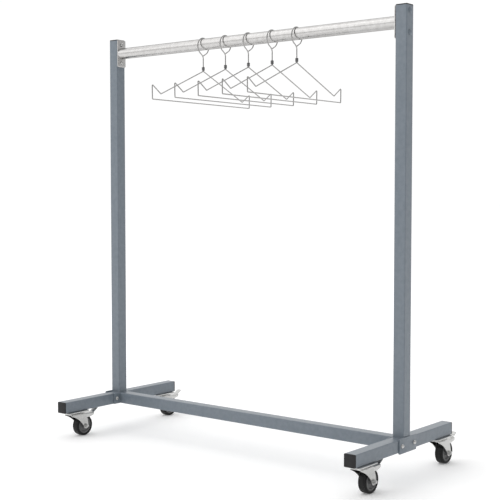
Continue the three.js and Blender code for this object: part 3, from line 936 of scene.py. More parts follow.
@dataclass(frozen=True)
class RoundBolt:
    """A bolt along Z: a button head with a hexagon socket below, a domed nut above."""

    head_radius: float
    head_height: float
    dome_radius: float
    dome_height: float
    grip: float
    shank_radius: float = 4 * MM
    socket_flats: float = 5 * MM
    socket_depth: float = 2.6 * MM
    socket_rim: float = 0.15 * MM
    washer: float = 0.7 * MM
    rounding: float = 0.8 * MM
    buried: float = 0.4 * MM
    seat_share: float = 0.97
    shoulder_share: float = 0.9
    crown_share: float = 0.62
    core_share: float = 0.6
    rim_share: float = 0.98

    def screw(self) -> Shell:
        """Makes the socket head, whose seat is at z = 0, and the shank."""
        return Shell().add(self._socket_head()).add(self._shank())

    def _socket_head(self) -> Shell:
        """The button head, with its socket sunk in."""
        radius, height = self.head_radius, self.head_height
        outline = rounded_profile(
            [(radius * self.seat_share, 0.0), (radius, -self.washer),
             (radius * self.shoulder_share, -height * self.crown_share), (radius * self.crown_share, -height)],
            self.rounding,
        )
        rings = [at_height(circle_ring(self.shank_radius * self.core_share), 0.0)]
        rings += [at_height(circle_ring(reach), z) for reach, z in outline]
        rim = hexagon_ring(self.socket_flats, self.socket_flats)
        rings += [at_height(rim, z) for z in (-height + self.socket_rim, self.socket_depth - height)]
        return loft(rings)

    def _shank(self) -> Shell:
        """The plain shank between the heads, sunk a little into both."""
        low, high = -self.buried, self.grip + self.buried
        return turned([(0, low), (self.shank_radius, low), (self.shank_radius, high), (0, high)], segments=32)

    def cap(self) -> Shell:
        """Makes the domed nut on its thin rim, with its seat at z = grip."""
        rim, base = self.dome_radius * self.rim_share, self.grip + self.washer
        profile = [(0, self.grip), (rim, self.grip), (self.dome_radius, base)]
        profile += [
            (rim * math.cos(a), base + (self.dome_height - self.washer) * math.sin(a)) for a in quarter_arc(8, 1)
        ]
        return turned(profile, segments=60)


@dataclass(frozen=True)
class HexHead:
    """A hexagon head or nut on a washer, along Z from its seat upwards."""

    flats: float
    height: float
    washer_radius: float
    washer: float = 1.0 * MM
    low_chamfer: float = 0.5 * MM
    high_chamfer: float = 0.7 * MM
    rounding: float = 0.3 * MM
    cut_share: float = 1.02

    def shell(self) -> Shell:
        """Makes the head and its washer."""
        corner = self.flats / 2 / math.cos(math.pi / 6)
        cut = self.flats / 2 * self.cut_share
        low, high = self.washer, self.height
        limits = (
            (cut, low), (corner, low + self.low_chamfer), (corner, high - self.high_chamfer), (cut, high),
        )
        rings = [at_height(circle_ring(cut * 0.5), low)]
        rings += [at_height(hexagon_ring(self.flats, limit), z) for limit, z in limits]
        rings += [at_height(circle_ring(cut * share), high) for share in (0.8, 0.4)]
        ring = rounded_profile(
            [(0, 0), (self.washer_radius, 0), (self.washer_radius, self.washer), (0, self.washer)], self.rounding
        )
        return Shell().add(loft(rings)).add(turned(ring, segments=48))


# ------------------------------------------------------------------ side frames


@dataclass
class SideFrame:
    """One side frame: post, foot with its joint pad, caps, bolts and the weld at the post's base."""

    side: Side
    wall: float = 2.0 * MM
    corner: float = 3.2 * MM
    cap_bevel: float = 1.1 * MM
    cap_gap: float = 0.1 * MM
    plug_play: float = 0.6 * MM
    plug_corner: float = 1.0 * MM
    plug_height: float = 9.0 * MM
    plug_drop: float = 8.5 * MM
    plug_bevel: float = 0.5 * MM
    pad_bevel: float = 0.8 * MM
    pad_corner: float = 3.0 * MM
    pad_overlap: float = 1.0 * MM
    bolt_head_radius: float = 7.0 * MM
    bolt_head: float = 5.0 * MM
    rail_dome: float = 5.0 * MM
    beam_dome: float = 6.5 * MM
    dome_share: float = 0.98
    weld_bead: float = 1.5 * MM
    weld_inset: float = 0.985

    def node(self, piece: str) -> str:
        """The CAD node's name for a piece of this side."""
        return f"{self.side.label}_{piece}"

    def build(self, shop: Workshop) -> None:
        """Builds and dresses every piece of the side."""
        self._post(shop)
        self._foot(shop)
        self._caps(shop)
        self._bolts(shop)
        self._weld(shop)

    def _post(self, shop: Workshop) -> None:
        """The upright tube."""
        box = Box.of(self.node("post"))
        tube = square_tube(box.size.x, self.wall, self.corner, box.low.z, box.high.z)
        mesh = tube.moved(at(box.centre.x, box.centre.y, 0)).mesh("post")
        shop.place(self.node("post_tube"), mesh, Slot.PAINT, ROOT_BODY, [self.node("post")])

    def _foot(self, shop: Workshop) -> None:
        """The foot tube along Y, with the pad on its outer face."""
        post, box, cap = (Box.of(self.node(piece)) for piece in ("post", "foot", "front_foot_cap"))
        side, outward = cap.size.z, self.side.outward
        middle = Vector((post.centre.x, 0, cap.centre.z))
        tube = square_tube(side, self.wall, self.corner, box.low.y, box.high.y)
        shell = tube.moved(Matrix.Translation(middle) @ Axis.Y.turn)
        outer = box.high.x if self.side is Side.RIGHT else box.low.x
        depth = abs(outer - middle.x) - side / 2 + self.pad_overlap
        pad = plate(Box.of("bottom_beam").size.y, box.size.z, self.pad_corner, depth, self.pad_bevel)
        turn = quarter_turns(outward, "Y") @ quarter_turns(1, "Z")
        shell.add(pad, at(outer - outward * depth, post.centre.y, box.centre.z) @ turn)
        shop.place(self.node("foot_tube"), shell.mesh("foot"), Slot.PAINT, ROOT_BODY, [self.node("foot")])

    def _caps(self, shop: Workshop) -> None:
        """The post cap and both foot caps."""
        post, foot, top = (Box.of(self.node(piece)) for piece in ("post", "foot", "post_cap"))
        side = post.size.x
        seat = at(post.centre.x, post.centre.y, post.high.z + self.cap_gap)
        self._cap(shop, self.node("post_cap"), side, top.high.z - post.high.z - self.cap_gap, seat)
        for end, sign in (("front", -1), ("rear", 1)):
            name = self.node(f"{end}_foot_cap")
            box = Box.of(name)
            face, tip = (foot.high.y, box.high.y) if sign > 0 else (foot.low.y, box.low.y)
            seat = at(box.centre.x, face + sign * self.cap_gap, box.centre.z) @ quarter_turns(-sign, "X")
            self._cap(shop, name, side, abs(tip - face) - self.cap_gap, seat)

    def _cap(self, shop: Workshop, name: str, side: float, height: float, seat: Matrix) -> None:
        """One cap: a head over the tube's end and a plug inside it."""
        inner = side - 2 * self.wall - self.plug_play
        head = plate(side, side, self.corner, height, self.cap_bevel)
        plug = plate(inner, inner, self.plug_corner, self.plug_height, self.plug_bevel)
        shell = Shell().add(head, seat).add(plug, seat @ at(0, 0, -self.plug_drop))
        shop.place(f"{name}_head", shell.mesh("cap"), Slot.CAP_PLASTIC, ROOT_BODY, [name])

    def _bolts(self, shop: Workshop) -> None:
        """The rail bolts and the beam bolts, each pair made by the line array."""
        for kind, ends, cap_slot in (
            ("rail_bolt", ("lower", "upper"), Slot.PAINT), ("beam_bolt", ("front", "rear"), Slot.ZINC),
        ):
            nodes = [self.node(f"{kind}_{end}") for end in ends]
            one, two = (Box.of(node) for node in nodes)
            bolt = self._bolt(kind, one)
            start = one.low.x + bolt.head_height if self.side is Side.RIGHT else one.high.x - bolt.head_height
            place = at(start, one.centre.y, one.centre.z) @ quarter_turns(self.side.outward, "Y")
            apart = tuple(place.inverted().to_3x3() @ (two.centre - one.centre))
            for label, shell, slot in (("s", bolt.screw(), Slot.ZINC), ("_caps", bolt.cap(), cap_slot)):
                shop.craft(
                    shop.tools.line_array, self.node(kind + label), shell.mesh(kind), slot, ROOT_BODY, nodes, place,
                    Count=2, Offset=apart,
                )

    def _bolt(self, kind: str, box: Box) -> RoundBolt:
        """The bolt of one kind, sized to its CAD node's length and width."""
        head = self.bolt_head
        dome = self.rail_dome if kind == "rail_bolt" else self.beam_dome
        grip = box.size.x - head - dome
        return RoundBolt(self.bolt_head_radius, head, box.size.y / 2, dome * self.dome_share, grip)

    def _weld(self, shop: Workshop) -> None:
        """The bead round the post where it stands on the foot."""
        post = Box.of(self.node("post"))
        ring = rounded_ring(post.size.x, post.size.y, self.corner, 4)
        level = at_height([(x * self.weld_inset, y * self.weld_inset) for x, y in ring], post.low.z)
        move = Vector((post.centre.x, post.centre.y, 0))
        shop.seam(self.node("post_weld"), [point + move for point in level], self.weld_bead)


# ------------------------------------------------------------------ beam and rail


@dataclass
class BottomBeam:
    """The beam between the feet: a square tube with an end plate welded to each end."""

    wall: float = 2.0 * MM
    corner: float = 3.2 * MM
    end_plate: float = 4.0 * MM
    bevel: float = 0.8 * MM
    weld_bead: float = 1.4 * MM
    weld_steps: int = 16

    def build(self, shop: Workshop) -> None:
        """Builds and dresses the beam, with a bead down each upright edge of its ends."""
        box = Box.of("bottom_beam")
        side = box.size.z
        reach, inner = box.size.x / 2 - self.end_plate / 2, box.size.x / 2 - self.end_plate
        shell = Shell().add(square_tube(side, self.wall, self.corner, -reach, reach), Axis.X.turn)
        end = plate(box.size.y, side, self.corner, self.end_plate, self.bevel)
        for sign in (-1, 1):
            shell.add(end, at(sign * inner, 0, 0) @ (quarter_turns(sign, "Y") @ quarter_turns(1, "Z")))
        place = Matrix.Translation(box.centre)
        shop.place("bottom_beam_tube", shell.mesh("beam"), Slot.PAINT, ROOT_BODY, ["bottom_beam"], place)
        heights = [(i / self.weld_steps - 0.5) * (side - 2 * self.corner) for i in range(self.weld_steps + 1)]
        for which in Side:
            for edge, y in (("front", -side / 2), ("rear", side / 2)):
                line = [Vector((which.outward * inner, y, z)) + box.centre for z in heights]
                shop.seam(f"beam_{which.label}_{edge}_weld", line, self.weld_bead, closed=False)


@dataclass
class HangingRail:
    """The round rail: a brushed tube with a flange welded to each end."""

    wall: float = 2.0 * MM
    flange: float = 4.0 * MM
    flange_corner: float = 5.0 * MM
    bevel: float = 0.7 * MM
    seam_width: float = 1.1 * MM
    seam_inset: float = 0.2 * MM
    seam_sink: float = 0.3 * MM
    seam_rise: float = 0.15 * MM
    seam_swell: float = 0.05 * MM

    def build(self, shop: Workshop) -> None:
        """Builds and dresses the rail."""
        box = Box.of("hanging_rail")
        radius = box.size.y / 2
        reach, inner = box.size.x / 2 - self.flange / 2, box.size.x / 2 - self.flange
        bore = radius - self.wall
        ring = [(bore, -reach), (radius, -reach), (radius, reach), (bore, reach)]
        shell = Shell().add(turned(ring, segments=96, looped=True), Axis.X.turn)
        end = plate(box.size.z, box.size.y, self.flange_corner, self.flange, self.bevel)
        for sign in (-1, 1):
            seat = at(sign * inner, 0, 0) @ quarter_turns(sign, "Y")
            shell.add(end, seat)
            shell.add(self._seam(radius - self.seam_inset), seat)
        place = Matrix.Translation(box.centre)
        shop.place("hanging_rail_tube", shell.mesh("rail"), Slot.BRUSHED_RAIL, ROOT_BODY, ["hanging_rail"], place)

    def _seam(self, radius: float) -> Shell:
        """The smooth weld between tube and flange, kept inside the flange's width."""
        profile = [(radius, self.seam_sink)]
        profile += [
            (radius + self.seam_rise + self.seam_swell * math.cos(a), -self.seam_width * math.sin(a))
            for a in quarter_arc(6)
        ]
        profile.append((radius, -self.seam_width))
        return turned(profile, segments=96, looped=True)


# ------------------------------------------------------------------ casters


@dataclass
class Caster:
    """One braked swivel caster, built about its swivel axis with the floor at z = 0."""

    place: Place
    gap: float = 0.3 * MM
    plate_bevel: float = 0.8 * MM
    plate_corner: float = 6.0 * MM
    plate_thickness: float = 3.0 * MM
    screw_spacing: float = 72.0 * MM
    screw_head: HexHead = HexHead(10 * MM, 4 * MM, 6.4 * MM)
    race_radius: float = 22.0 * MM
    race_height: float = 4.0 * MM
    race_flare: float = 3.0 * MM
    race_dish: float = 0.5 * MM
    race_rounding: float = 0.9 * MM
    ball_radius: float = 1.7 * MM
    ball_inset: float = 0.8 * MM
    ball_lift: float = 0.15 * MM
    ball_count: int = 26
    pin_radius: float = 5.0 * MM
    pin_head_radius: float = 9.0 * MM
    pin_tip_radius: float = 6.0 * MM
    pin_head_height: float = 4.0 * MM
    pin_rounding: float = 1.2 * MM
    crown_radius: float = 28.0 * MM
    crown_height: float = 5.0 * MM
    crown_bore: float = 5.6 * MM
    crown_rounding: float = 1.4 * MM
    fork_half: float = 20.0 * MM
    sheet: float = 2.5 * MM
    bend: float = 5.0 * MM
    eye_radius: float = 11.0 * MM
    eye_tip: float = 0.4 * MM
    lever_root: float = 11.0 * MM
    lever_half: float = 16.9 * MM
    lever_sheet: float = 2.2 * MM
    lever_skirt: float = 1.6 * MM
    lever_bend: float = 2.4 * MM
    lever_gap: float = 3.9 * MM
    lever_pin_y: float = 17.0 * MM
    toe_length: float = 26.0 * MM
    toe_overlap: float = 8.0 * MM
    toe_half: float = 11.0 * MM
    toe_round: float = 6.0 * MM
    toe_tip_half: float = 3.0 * MM
    toe_sink: float = 0.1 * MM
    rib_count: int = 4
    rib_step: float = 3.4 * MM
    rib_start: float = 12.0 * MM
    rib_sink: float = 0.5 * MM
    rim_half: float = 12.5 * MM
    hub_rounding: float = 0.9 * MM
    tyre_seat: float = 0.25 * MM
    tyre_shoulder: float = 5.0 * MM
    tyre_crown: float = 3.4 * MM
    tyre_groove: float = 0.35 * MM
    axle_half: float = 20.3 * MM
    axle_radius: float = 4.0 * MM
    axle_end: float = 9.2 * MM
    axle_chamfer: float = 0.7 * MM
    axle_nut: HexHead = HexHead(12.1 * MM, 6 * MM, 7 * MM)
    thread_pitch: float = 0.8 * MM
    thread_start: float = 6.7 * MM

    def node(self, piece: str) -> str:
        """The CAD node's name for a piece of this caster."""
        return f"{self.place.value}_caster_{piece}"

    def body(self, part: str) -> str:
        """The name of one of this caster's bodies."""
        return f"{self.place.value}_{part}"

    def build(self, shop: Workshop) -> None:
        """Builds and dresses every piece of the caster."""
        base, hub = Box.of(self.node("plate")), Box.of(self.node("hub"))
        foot_bottom = Box.of(f"{self.place.value.split('_')[1]}_front_foot_cap").low.z
        self.swivel = at(base.centre.x, base.centre.y, 0)
        self.trail = hub.centre.y - base.centre.y
        self.axle_height = hub.centre.z
        self.plate_bottom = foot_bottom - self.gap - self.plate_thickness
        self.crown_top = self.plate_bottom - self.race_height - self.gap
        self.crown_bottom = self.crown_top - self.crown_height
        self._base(shop)
        self._fork(shop)
        self._brake(shop)
        self._wheel(shop)
        self._axle(shop)

    def _base(self, shop: Workshop) -> None:
        """The mounting plate, its race and kingpin, and the screws on the line array."""
        size = Box.of(self.node("plate")).size
        top, low, radius = self.plate_bottom, self.plate_bottom - self.race_height, self.race_radius
        bite = top + 0.6 * MM
        shell = plate(size.x, size.y, self.plate_corner, self.plate_thickness, self.plate_bevel).moved(at(0, 0, top))
        race = rounded_profile([
            (0, low + self.race_dish), (radius - 6 * MM, low + self.race_dish), (radius - 5 * MM, low),
            (radius - 0.5 * MM, low), (radius, low + 1.5 * MM), (radius + self.race_flare, top),
            (radius + self.race_flare, bite), (0, bite),
        ], self.race_rounding)
        shell.add(turned(race, segments=72))
        head, buried = self.crown_bottom - self.gap, low + 1 * MM
        tip = head - self.pin_head_height
        pin = rounded_profile([
            (0, tip), (self.pin_tip_radius, tip), (self.pin_head_radius, head - self.pin_rounding),
            (self.pin_head_radius, head), (self.pin_radius, head), (self.pin_radius, buried), (0, buried),
        ], self.pin_rounding)
        shell.add(turned(pin, segments=48))
        shop.place(self.node("base"), shell.mesh("base"), Slot.ZINC, ROOT_BODY, [self.node("plate")], self.swivel)
        screw = self.screw_head.shell().moved(quarter_turns(2, "X"))
        shop.craft(
            shop.tools.line_array, self.node("plate_screws"), screw.mesh("screw"), Slot.ZINC, ROOT_BODY,
            move=self.swivel @ at(0, -self.screw_spacing / 2, top), Count=2, Offset=(0.0, self.screw_spacing, 0.0),
        )

    def _fork(self, shop: Workshop) -> None:
        """The pressed fork, two legs and a web bent from one sheet under a dished crown, and the balls over it."""
        low, high, radius, bore = self.crown_bottom, self.crown_top, self.crown_radius, self.crown_bore
        shell = sheet_loft(*self._fork_outline(low + self.sheet), self.sheet)
        crown = rounded_profile([
            (bore, low), (radius - 1 * MM, low), (radius, low + 1.2 * MM), (radius - 1.5 * MM, high - 1 * MM),
            (radius - 5 * MM, high), (bore, high), (bore, low),
        ], self.crown_rounding)
        shell.add(turned(crown[:-1], segments=72, looped=True))
        body = self.body("fork")
        shop.place(self.node("fork_sheet"), shell.mesh("fork"), Slot.ZINC, body, [self.node("fork")], self.swivel)
        steps = 6
        arc = [
            (self.ball_radius * math.sin(math.pi * i / steps), -self.ball_radius * math.cos(math.pi * i / steps))
            for i in range(steps + 1)
        ]
        ball = turned(arc, segments=8).moved(at(self.race_radius - self.ball_inset, 0, 0))
        shop.craft(
            shop.tools.ring_array, self.node("race_balls"), ball.mesh("ball"), Slot.ZINC, body,
            move=self.swivel @ at(0, 0, high + self.ball_lift), Count=self.ball_count,
        )

    def _fork_outline(self, top: float) -> tuple[list[Point2], list[Point2]]:
        """The bent sheet's path across X, and its front and rear edges along it.

        Args:
            top: The height of the web's top face.

        Returns:
            The path as points of X and Z, and the first and last Y at each.
        """
        trail, axle, half, bend = self.trail, self.axle_height, self.fork_half, self.bend
        front = ((trail - self.eye_radius, axle), (trail - 33 * MM, axle + 31 * MM),
                 (1 * MM - self.crown_radius, self.crown_bottom - 3 * MM))
        rear = ((trail + self.eye_radius, axle), (trail + 10 * MM, axle + 27 * MM), (trail - 5 * MM, top))
        leg: list[tuple[float, float, float]] = []
        for angle in quarter_arc(9)[:-1]:
            reach = max(self.eye_radius * math.sin(angle), self.eye_tip)
            leg.append((axle - self.eye_radius * math.cos(angle), trail - reach, trail + reach))
        steps = 16
        for i in range(steps + 1):
            front_y, height = bezier(front, i / steps)
            leg.append((height, front_y, self._edge_at(rear, height)))
        leg = [row for row in leg if row[0] < top - bend]
        path: list[Point2] = [(-half, z) for z, _, _ in leg]
        spans: list[Point2] = [(a, b) for _, a, b in leg]
        for angle in quarter_arc(6):
            z = top - bend * (1 - math.sin(angle))
            path.append((-half + bend * (1 - math.cos(angle)), z))
            spans.append((self._edge_at(front, min(z, front[2][1])), self._edge_at(rear, z)))
        return path + [(-x, z) for x, z in reversed(path)], spans + spans[::-1]

    @staticmethod
    def _edge_at(points: Sequence[Point2], height: float) -> float:
        """The Y of a rising three-point curve at a height, found by halving."""
        low, high = 0.0, 1.0
        for _ in range(30):
            middle = (low + high) / 2
            if bezier(points, middle).y < height:
                low = middle
            else:
                high = middle
        return bezier(points, (low + high) / 2).x

    def _brake(self, shop: Workshop) -> None:
        """The brake lever: a channel over the wheel with a raised, ribbed toe, and its pin."""
        box = Box.of(self.node("brake"))
        tip = box.high.y - self.swivel.translation.y
        reach = tip - self.toe_length
        deck = 2 * self.axle_height + self.lever_gap + self.lever_sheet
        shell = self._channel(reach, deck)
        shell.add(self._toe(reach, tip, deck, box.high.z))
        ends = [(20.5, 0.0), (20.5, 2.2), (20.3, 3.6), (20.05, 3.6), (20.0, 2.5)]
        half = [(radius * MM, -along * MM) for along, radius in ends]
        pin = rounded_profile(half + [(radius, -along) for radius, along in reversed(half)], 0.1 * MM, 1)
        seat = at(0, self.lever_pin_y, deck - self.lever_sheet / 2) @ Axis.X.turn
        shell.add(turned(pin, segments=32), seat)
        body = self.body("brake")
        shop.place(self.node("brake_lever"), shell.mesh("brake"), Slot.ZINC, body, [self.node("brake")], self.swivel)
        rib = plate(18 * MM, 1.4 * MM, 0.6 * MM, 0.9 * MM, 0.35 * MM)
        start, steps = reach + self.rib_start, self.rib_count - 1
        low, high = (
            (box.high.z - deck) * self._toe_rise((y - reach) / (tip - reach))
            for y in (start, start + steps * self.rib_step)
        )
        shop.craft(
            shop.tools.line_array, self.node("brake_ribs"), rib.mesh("rib"), Slot.ZINC, body,
            move=self.swivel @ at(0, start, deck + low - self.rib_sink),
            Count=self.rib_count, Offset=(0.0, self.rib_step, (high - low) / steps),
        )

    @staticmethod
    def _toe_rise(along: float) -> float:
        """The toe's rise as a share of its height, at a share of its length."""
        return along * along * (3 - 2 * along)

    def _channel(self, reach: float, deck: float) -> Shell:
        """The lever's deck and skirts as one bent sheet, with skirts of changing depth."""
        half, thin, bend, root = self.lever_half, self.lever_skirt, self.lever_bend, self.lever_root
        stations = (
            (root, 6), (root + 10 * MM, 8.5), (root + 25 * MM, 11.5), (root + 40 * MM, 13.7),
            (reach - 22 * MM, 14), (reach - 10 * MM, 11.5), (reach - 3 * MM, 9), (reach, 8),
        )
        rings = []
        for y, depth_mm in stations:
            foot = deck - depth_mm * MM
            sides = []
            for inset, radius in ((0.0, bend), (thin, bend - thin)):
                side = [(half - inset, foot), (half - inset, deck - bend)]
                side += [
                    (half - inset - radius * (1 - math.cos(a)), deck - inset - radius * (1 - math.sin(a)))
                    for a in quarter_arc(5, 1)
                ]
                sides.append(side)
            outer, inner = sides
            outline = outer + [(-x, z) for x, z in reversed(outer)] + [(-x, z) for x, z in inner] + inner[::-1]
            rings.append([Vector((x, y, z)) for x, z in outline])
        return loft(rings)

    def _toe(self, reach: float, tip: float, deck: float, top: float) -> Shell:
        """The raised toe: a flat tongue that rises from the deck and ends round."""
        rings = []
        steps, corner, margin = 18, 0.8 * MM, 0.5 * MM
        curve, sheet = self.toe_round, self.lever_sheet
        for i in range(steps + 1):
            y = reach - self.toe_overlap + (tip - reach + self.toe_overlap) * (i / steps)
            rise = max(0.0, (y - reach) / (tip - reach))
            z = deck - self.toe_sink + (top - deck) * self._toe_rise(rise)
            left, half = tip - y, self.toe_half
            if left < curve:
                half -= curve - math.sqrt(max(curve ** 2 - (curve - left) ** 2, 0))
            ring = rounded_ring(2 * max(half, self.toe_tip_half), sheet, corner, 3, margin)
            rings.append([Vector((x, y, z - sheet / 2 + h)) for x, h in ring])
        return loft(rings)

    def _wheel(self, shop: Workshop) -> None:
        """The hub and the tyre."""
        hub, tyre = Box.of(self.node("hub")), Box.of(self.node("tyre"))
        place = Matrix.Translation(hub.centre) @ Axis.X.turn
        boss, outer, rim = hub.size.x / 2, hub.size.z / 2, self.rim_half
        face = rounded_profile([
            (4.3 * MM, boss), (7.5 * MM, boss), (8.2 * MM, boss - 1.2 * MM), (9.5 * MM, 6.5 * MM),
            (13 * MM, 5.2 * MM), (outer - 6.5 * MM, 5.6 * MM), (outer - 4.2 * MM, rim - 2.2 * MM),
            (outer - 3.4 * MM, rim), (outer - 0.6 * MM, rim), (outer, rim - 0.8 * MM),
        ], self.hub_rounding)
        reach, side = tyre.size.z / 2, tyre.size.x / 2
        inner, shoulder, crown = outer + self.tyre_seat, self.tyre_shoulder, self.tyre_crown
        half = [(inner, side - 1.5 * MM), (inner + 1 * MM, side - 0.6 * MM), (reach - shoulder, side)]
        half += [
            (reach - shoulder + shoulder * math.sin(a), side - crown + crown * math.cos(a))
            for a in quarter_arc(7, 1)
        ]
        deep = reach - self.tyre_groove
        half += [(reach, 6.4 * MM), (deep, 6.1 * MM), (deep, 5.7 * MM), (reach, 5.4 * MM)]
        for piece, node, outline, slot, segments in (
            ("hub_wheel", "hub", face, Slot.HUB_PLASTIC, 72), ("tyre_tread", "tyre", half, Slot.TYRE, 96),
        ):
            profile = outline + [(radius, -along) for radius, along in reversed(outline)]
            mesh = turned(profile, segments, looped=True).mesh(node)
            shop.place(self.node(piece), mesh, slot, self.body("wheel"), [self.node(node)], place)

    def _axle(self, shop: Workshop) -> None:
        """The axle bolt: hexagon head, nut and threaded end."""
        box = Box.of(self.node("axle"))
        place = at(self.swivel.translation.x, box.centre.y, box.centre.z) @ Axis.X.turn
        radius, start, end = self.axle_radius, -self.axle_half - 2 * MM, self.axle_half + self.axle_end
        shell = turned([
            (0, start), (radius, start), (radius, end), (radius - 0.8 * MM, end + self.axle_chamfer),
            (0, end + self.axle_chamfer),
        ], segments=32)
        head = self.axle_nut.shell()
        shell.add(head, at(0, 0, self.axle_half))
        shell.add(head, at(0, 0, -self.axle_half) @ quarter_turns(2, "X"))
        body = self.body("fork")
        shop.place(self.node("axle_bolt"), shell.mesh("axle"), Slot.ZINC, body, [self.node("axle")], place)
        turn = turned([(3.9 * MM, -0.3 * MM), (4.25 * MM, 0), (3.9 * MM, 0.3 * MM)], segments=24, looped=True)
        shop.craft(
            shop.tools.line_array, self.node("axle_thread"), turn.mesh("thread"), Slot.ZINC, body,
            move=place @ at(0, 0, self.axle_half + self.thread_start), Count=4, Offset=(0.0, 0.0, self.thread_pitch),
        )


# ------------------------------------------------------------------ hangers


@dataclass
class Hanger:
    """One wire hanger: a hook closed round the rail, a ferrule, and the shoulder and bar wire."""

    number: int
    wire: float = 2.0 * MM
    hook_radius: float = 29.0 * MM
    rail_gap: float = 0.4 * MM
    leaving_angle: float = math.radians(60)
    hook_rise: float = 10.0 * MM
    hook_steps: int = 64
    stem_in_ferrule: float = 5.0 * MM
    shoulder: float = 216.0 * MM
    half_width: float = 258.0 * MM
    shoulder_drop: float = 97.0 * MM
    notch_rise: float = 29.0 * MM
    tip_drop: float = 49.0 * MM
    tip_lean: float = 1.0 * MM
    mouth_drop: float = 4.0 * MM
    wire_spread: float = 0.25 * MM
    wire_in_ferrule: float = 5.0 * MM
    bend: float = 2.4 * MM
    mouth_gap: float = 0.3 * MM
    stem_gap: float = 0.35 * MM
    ferrule_roof: float = 2.5 * MM
    crimps: tuple[float, float] = (3.4 * MM, 6.8 * MM)
    crimp_depth: float = 0.45 * MM
    crimp_half: float = 0.9 * MM
    crimp_floor: float = 0.3 * MM

    def node(self, piece: str) -> str:
        """The CAD node's name for a piece of this hanger."""
        return f"hanger_{self.number}_{piece}"

    def build(self, shop: Workshop) -> None:
        """Builds and dresses the three pieces."""
        rail, sleeve = Box.of("hanging_rail"), Box.of(self.node("ferrule"))
        self.place = at(sleeve.centre.x, rail.centre.y, rail.centre.z)
        self.rail_radius = rail.size.y / 2
        self.sleeve_top = sleeve.high.z - rail.centre.z
        self.sleeve_mouth = sleeve.low.z - rail.centre.z
        self.sleeve_radius = sleeve.size.x / 2
        self._hook(shop)
        self._ferrule(shop)
        self._frame(shop)

    def _bent_wire(
        self, shop: Workshop, piece: str, body: str, points: Sequence[Point2], sides: int, bend: float, steps: int
    ) -> None:
        """Sweeps one wire through points of Y and Z, and places it on a body."""
        shop.craft(
            shop.tools.wire_sweep, self.node(f"{piece}_wire"), chain([Vector((0, y, z)) for y, z in points]),
            Slot.HANGER_WIRE, self.node(body), [self.node(piece)], self.place,
            Wire_Radius=self.wire, Sides=sides, Bend_Radius=bend, Bend_Steps=steps,
        )

    def _hook(self, shop: Workshop) -> None:
        """The stem and the loop round the rail."""
        radius, leaving = self.hook_radius, self.leaving_angle
        centre = self.rail_radius + self.rail_gap + self.wire - radius
        foot_y, foot_z = radius * math.cos(leaving), centre - radius * math.sin(leaving)
        close = foot_z - foot_y / math.tan(leaving)
        stem = ((0, close - self.hook_rise), (0, close), (-foot_y, foot_z))
        points = [(0.0, self.sleeve_top - self.stem_in_ferrule)]
        points += [tuple(bezier(stem, i / 8)) for i in range(9)]
        sweep = 2 * math.pi - (math.pi - 2 * leaving)
        for i in range(1, self.hook_steps + 1):
            angle = math.pi + leaving - i * sweep / self.hook_steps
            points.append((radius * math.cos(angle), centre + radius * math.sin(angle)))
        points.append((0.6 * MM, close + 0.5 * MM))
        self._bent_wire(shop, "hook", "slider", points, 16, 0.5 * MM, 1)

    def _ferrule(self, shop: Workshop) -> None:
        """The sleeve, with two rolled crimps."""
        top, mouth, radius = self.sleeve_top, self.sleeve_mouth, self.sleeve_radius
        bore = 2 * self.wire + self.wire_spread + self.mouth_gap
        hole, roof, waist = self.wire + self.stem_gap, top - self.ferrule_roof, radius - self.crimp_depth
        outline: list[Point2] = [(bore, mouth), (radius - 0.3 * MM, mouth), (radius, mouth + 0.4 * MM)]
        for middle in (mouth + height for height in self.crimps):
            outline += [(radius, middle - self.crimp_half), (waist, middle - self.crimp_floor),
                        (waist, middle + self.crimp_floor), (radius, middle + self.crimp_half)]
        outline += [(radius, top - 1.8 * MM), (radius - 1.5 * MM, top), (hole, top), (hole, roof), (bore, roof)]
        mesh = turned(rounded_profile(outline, 0.4 * MM, 2), segments=48, looped=True).mesh("ferrule")
        body = self.node("swinging_frame")
        shop.place(self.node("ferrule_sleeve"), mesh, Slot.FERRULE_METAL, body, [self.node("ferrule")], self.place)

    def _frame(self, shop: Workshop) -> None:
        """The shoulders, notches, raised tips and bar, bent from one wire."""
        start, mouth = self.wire + self.wire_spread, self.sleeve_mouth
        notch = mouth - self.shoulder_drop
        tip = notch + self.notch_rise
        side = [
            (start, mouth + self.wire_in_ferrule), (start, mouth - self.mouth_drop), (self.shoulder, notch),
            (self.half_width, tip), (self.half_width - self.tip_lean, tip - self.tip_drop),
        ]
        points = side + [(-y, z) for y, z in reversed(side)]
        self._bent_wire(shop, "frame", "swinging_frame", points, 14, self.bend, 7)


# ------------------------------------------------------------------ studio


@dataclass(frozen=True)
class Lamp:
    """One large soft square light aimed at a point."""

    name: str
    place: tuple[float, float, float]
    target: tuple[float, float, float]
    size: float
    power: float

    def build(self) -> None:
        """Puts the light in the scene."""
        data = bpy.data.lights.new(self.name, "AREA")
        data.shape = "SQUARE"
        data.size = self.size
        data.energy = self.power
        lamp = new_object(self.name, data)
        lamp.location = self.place
        lamp.rotation_mode = "QUATERNION"
        lamp.rotation_quaternion = (Vector(self.target) - Vector(self.place)).to_track_quat("-Z", "Y")


